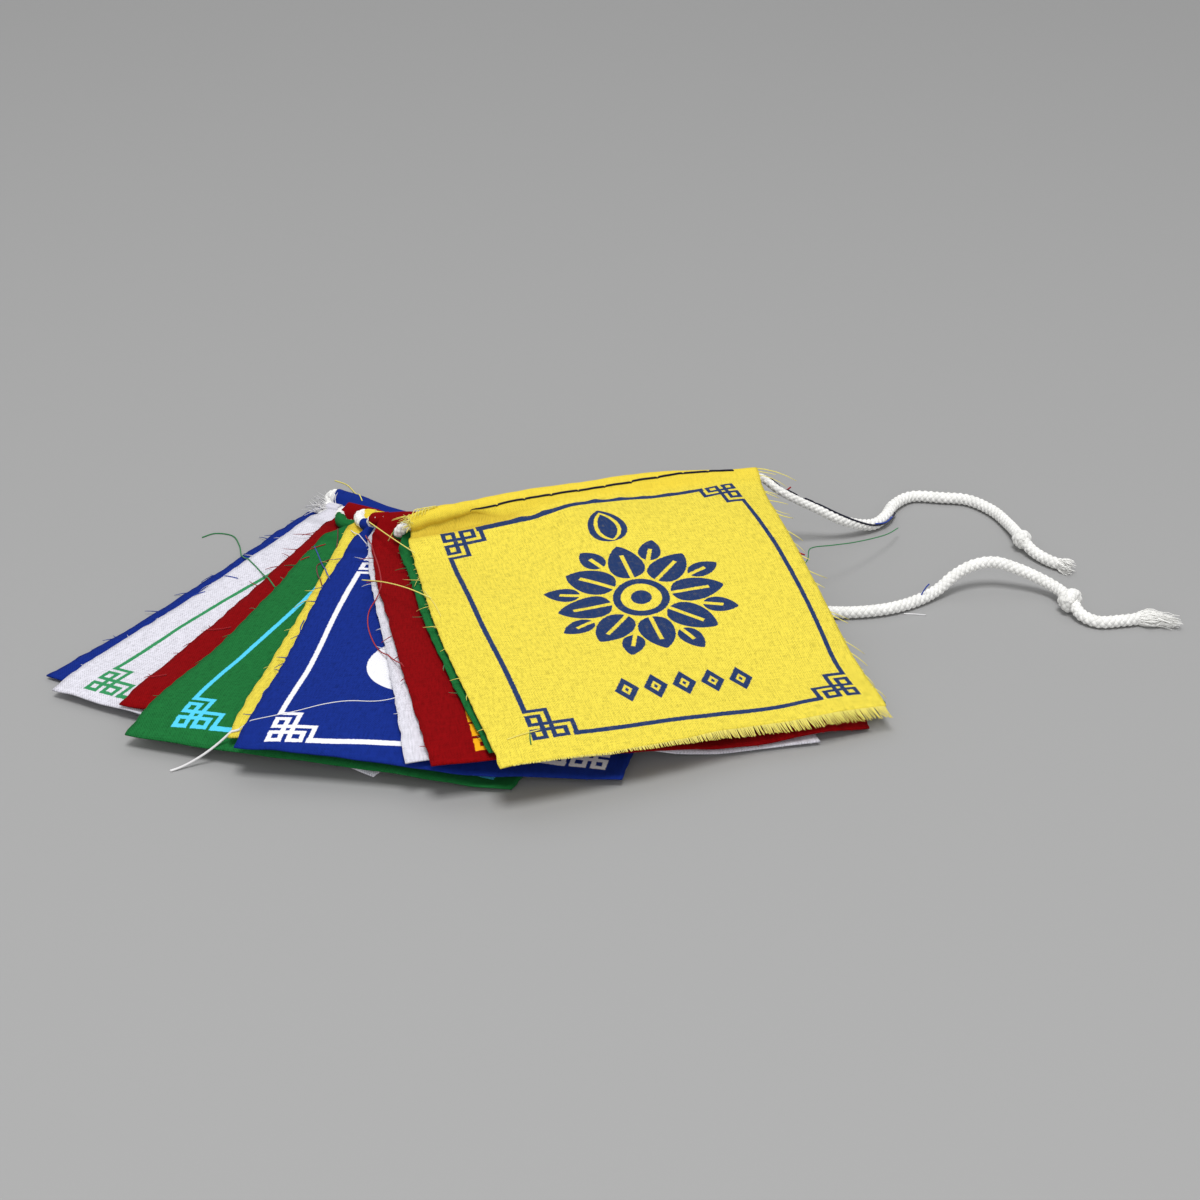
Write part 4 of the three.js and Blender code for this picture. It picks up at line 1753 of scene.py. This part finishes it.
THREADS = tuple(LooseThread(*row) for row in (
    ("green_curl", Yarn.GREEN, 0.3, (
        (-60.7, 43.9), (-58.2, 45.8), (-54.3, 44.8), (-52.2, 40.5), (-50.3, 32.5), (-44.9, 22.2),
        (-41.1, 14))),
    ("white_long", Yarn.WHITE, 0.18, (
        (-41.5, -47.2), (-38.4, -46.4), (-31.3, -44), (-22.5, -39.6), (-12, -40))),
    ("white_tail", Yarn.WHITE, 0.5, ((-53.3, -51.5), (-48.5, -49.3), (-44, -47.9), (-40.5, -47))),
    ("red_wave", Yarn.RED, 0.25, (
        (-23.3, 29.2), (-17.9, 1.7), (-19.9, -4.7), (-18.2, -15.9), (-10.9, -31.3))),
    ("maroon_hook", Yarn.MAROON, 0.25, (
        (-30.3, 40.1), (-29.7, 31), (-30, 25), (-32.9, 21.8), (-32.9, 19.6), (-30.8, 10))),
    ("yellow_arc", Yarn.YELLOW, 0.25, ((-21.9, 23.9), (-16.6, 17.1), (-11.3, 8.8)),
     (14.0, 13.7, 14.5)),
    ("yellow_short", Yarn.YELLOW, 0.22, ((-17.8, 20.9), (-13.1, 19.9))),
    ("yellow_left", Yarn.YELLOW, 0.25, (
        (-21.6, 1.8), (-16.8, -2.3), (-11.8, -7.2), (-6.6, -13.6)), (12.0, 13.7, 15.0, 16.2)),
    ("yellow_side", Yarn.YELLOW, 0.22, ((-8.4, -5.9), (-5.8, -12.7), (-4.6, -16.4))),
    ("yellow_behind", Yarn.YELLOW, 0.25, ((-34.3, 72.6), (-31.1, 70), (-26.7, 57.8))),
    ("white_knot", Yarn.WHITE, 0.22, ((-26.9, 33.8), (-22.7, 25.6))),
    ("blue_fold", Yarn.BLUE, 0.25, ((-34.7, 31.2), (-32, 21.8), (-29.1, 10.2))),
    ("green_right", Yarn.GREEN, 0.25, (
        (66.0, 6.0), (69.0, 11.0), (70.3, 17.6), (75.3, 22.0), (80.6, 27.3), (88.5, 37.8),
        (91.7, 43.8)), (11.0, 11.5, 11.0, 9.5, 7.5, 4.0, 2.5)),
    ("green_bottom", Yarn.GREEN, 0.25, ((13.7, -54.9), (13.8, -57.0), (14, -58.7))),
    ("yellow_bottom", Yarn.YELLOW, 0.28, ((9.7, -57.8), (12.7, -55.8), (15.5, -54.1))),
    ("white_wisp", Yarn.WHITE, 0.3, ((89.4, 9.2), (91.8, 9.0), (93.9, 8.6))),
    ("blue_lint", Yarn.BLUE, 0.3, ((93.1, 13.0), (93.6, 13.0), (94.4, 13.2), (94.8, 13.1)),
     (2.0, 3.2, 4.5, 5.0)),
    ("red_bit_upper", Yarn.RED, 0.35, ((66.7, 42.4), (67.8, 42.7)), (12.2, 13.0)),
    ("red_bit_side", Yarn.RED, 0.35, ((67.4, 11.7), (68.6, 11.6)), (13.0, 12.6)),
    *((f"blue_hair_{k}", Yarn.BLUE, 0.22, hair) for k, hair in enumerate(BLUE_HAIRS, 1)),
    ("red_hair_1", Yarn.RED, 0.3, ((-52.9, -4.2), (-50.6, -3.9), (-48, -3))),
    ("red_hair_2", Yarn.RED, 0.3, ((-62.8, -23.6), (-60.4, -23.4), (-58.1, -22.5))),
    ("red_hair_4", Yarn.RED, 0.25, ((-35.6, 28.5), (-33.7, 30.3), (-32.2, 31.3))),
    ("red_hair_5", Yarn.RED, 0.25, ((-37.2, 23.5), (-35, 25.3))),
    *((f"yellow_loop_{k}", Yarn.YELLOW, 0.2, loop, LOOP_HEIGHTS)
      for k, loop in enumerate(YELLOW_LOOPS, 1)),
    ("blue_lint_upper", Yarn.BLUE, 0.35, ((87.0, 46.2), (89.4, 48.2), (91.4, 51.5))),
))


@dataclass
class Stitching:
    """The row of long hand stitches that holds the top flag's hem down."""

    flag: Flag
    count: int = 10
    start: float = 0.165
    end: float = 0.93
    thick: float = 0.48

    def build(self, finish: Finish) -> Piece:
        """Makes the stitches, each dipping into the cloth at its two ends.

        Args:
            finish: the sewing thread's material.

        Returns:
            The piece.
        """
        loom = Loom()
        pitch = (self.end - self.start) / self.count
        dice = random.Random(3)
        for k in range(self.count):
            first = self.start + pitch * (k + 0.01)
            last = first + pitch * 0.98
            skew = dice.uniform(-0.02, 0.02)
            path = []
            for step in range(25):
                share = step / 24
                a = blend(first, last, share)
                climb = blend(1.1, 1.235, ramp(a, 0.15, 0.27)) + 0.17 * ramp(a, 0.55, 0.95)
                round_hem = climb + skew * (share - 0.5)
                sink = 0.3 * (1 - ramp(min(share, 1 - share), 0, 0.04))
                point = self.flag.place(a, round_hem)
                path.append(point + UP * (WEB / 2 + self.thick * 0.22 - sink) * MM)
            loom.tube(path, 6, lambda _, along: self.thick / 2 * MM)
        return loom.piece("hem_stitches", finish)


class Studio:
    """The camera, the table and the light."""

    TARGET = Vector((0.0265, 0.0154, 0.0))
    ELEVATION = 28.5
    DISTANCE = 0.523
    LENS = 75.0
    SENSOR = 36.0
    TABLE = 8.0  # side of the table top
    ROOM = 0.41  # strength of the light from all around
    LAMPS = (
        # name, place over the table, height, side, watts
        ("key", (0.02, -0.4), 1.6, 0.6, 17.8),
        ("front", (0.03, -0.9), 0.35, 0.8, 2.6),
        ("back", (-0.1, 0.6), 1.0, 1.0, 2.0),
    )

    def set_camera(self) -> None:
        """Puts the camera at the photograph's angle."""
        tilt = math.radians(self.ELEVATION)
        back = Vector((0, -math.cos(tilt), math.sin(tilt)))
        data = bpy.data.cameras.new("camera")
        data.lens = self.LENS
        data.sensor_width = self.SENSOR
        data.clip_start = 0.01
        camera = bpy.data.objects.new("camera", data)
        camera.location = self.TARGET + back * self.DISTANCE
        camera.rotation_euler = Euler((math.pi / 2 - tilt, 0, 0))
        bpy.context.scene.collection.objects.link(camera)
        bpy.context.scene.camera = camera

    def set_table(self) -> None:
        """Lays the table top."""
        loom = Loom()
        loom.grid(4, 4, lambda a, b: Vector((a - 0.5, b - 0.5, 0)) * self.TABLE,
                  lambda a, b: (a, b))
        table = loom.piece("table_top", TableFinish().make(), sealed=False)

    def lamp(self, name: str, place: Spot, height: float, size: float, power: float) -> None:
        """Hangs a soft square lamp that looks at the flags.

        Args:
            name: of the lamp.
            place: above which point of the table.
            height: above the table.
            size: of its side.
            power: in watts.
        """
        data = bpy.data.lights.new(name, "AREA")
        data.size = size
        data.energy = power
        lamp = bpy.data.objects.new(name, data)
        lamp.location = (*place, height)
        lamp.rotation_euler = (self.TARGET - lamp.location).to_track_quat("-Z", "Y").to_euler()
        bpy.context.scene.collection.objects.link(lamp)

    def set_light(self) -> None:
        """Sets the soft light from above and a little in front, and the bright room."""
        scene = bpy.context.scene
        scene.view_settings.view_transform = "Standard"
        world = bpy.data.worlds.new("room")
        world.use_nodes = True
        room = world.node_tree.nodes["Background"]
        room.inputs["Color"].default_value = (1, 1, 1, 1)
        room.inputs["Strength"].default_value = self.ROOM
        scene.world = world
        for row in self.LAMPS:
            self.lamp(*row)


def settle(piece: Piece) -> None:
    """Fixes a piece to the one body and reports it.

    Args:
        piece: what is fixed.
    """
    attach(piece, "root")
    LOG.info("%s: %d faces", piece.name, len(piece.data.polygons))


def main() -> None:
    """Builds the scene in order: camera and cords, flags, sewing and threads, light and table."""
    logging.basicConfig(level=logging.INFO, format="%(message)s")
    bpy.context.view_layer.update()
    studio = Studio()
    studio.set_camera()
    cord = CordFinish().make()
    loose = CordFinish("cord_fibres", (0.95, 0.945, 0.92), False).make()
    yarns = {yarn: ThreadFinish(f"yarn_{yarn.name.lower()}", yarn.value).make() for yarn in Yarn}
    bed = Bed()
    for end in ENDS:
        for piece in end.build(cord, loose, yarns[Yarn.NAVY]):
            bed.add(piece)
    plain = {dye: CottonFinish(f"cotton_{dye.value}_back", dye).make() for dye in Dye}
    for k, (below, above) in enumerate(zip(PLANS, PLANS[1:])):
        turn = CordTurn(below, above, k % 2, *TURNS.get(above.number, ()))
        for plan in (below, above):
            settle(turn.sleeve(plan, plain[plan.dye]))
        piece = turn.build(cord)
        settle(piece)
        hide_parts(turn.node)
        bed.add(piece)
    flags: list[Flag] = []
    for plan in PLANS:
        flag = Flag(plan, *FINE_CELLS) if plan is PLANS[-1] else Flag(plan)
        name = f"cotton_{plan.number:02d}_{plan.dye.value}"
        finish = CottonFinish(name, plan.dye, plan.ink, plan.line, plan.halo)
        cloth = flag.build(finish.make(), plain[plan.dye])
        fringe = make_fringe(flag, bed, yarns[Yarn[plan.dye.name]])
        for piece in (cloth, fringe):
            settle(piece)
        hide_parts(plan.node)
        bed.add(cloth)
        flags.append(flag)
    settle(Stitching(flags[-1]).build(yarns[Yarn.NAVY]))
    slots = {Yarn.MAROON: "cotton_red", Yarn.NAVY: "cotton_blue"}
    for thread in THREADS:
        slot = slots.get(thread.yarn, f"cotton_{thread.yarn.name.lower()}")
        settle(thread.build(bed, yarns[thread.yarn]))
    studio.set_table()
    studio.set_light()


if __name__ == "__main__":
    main()
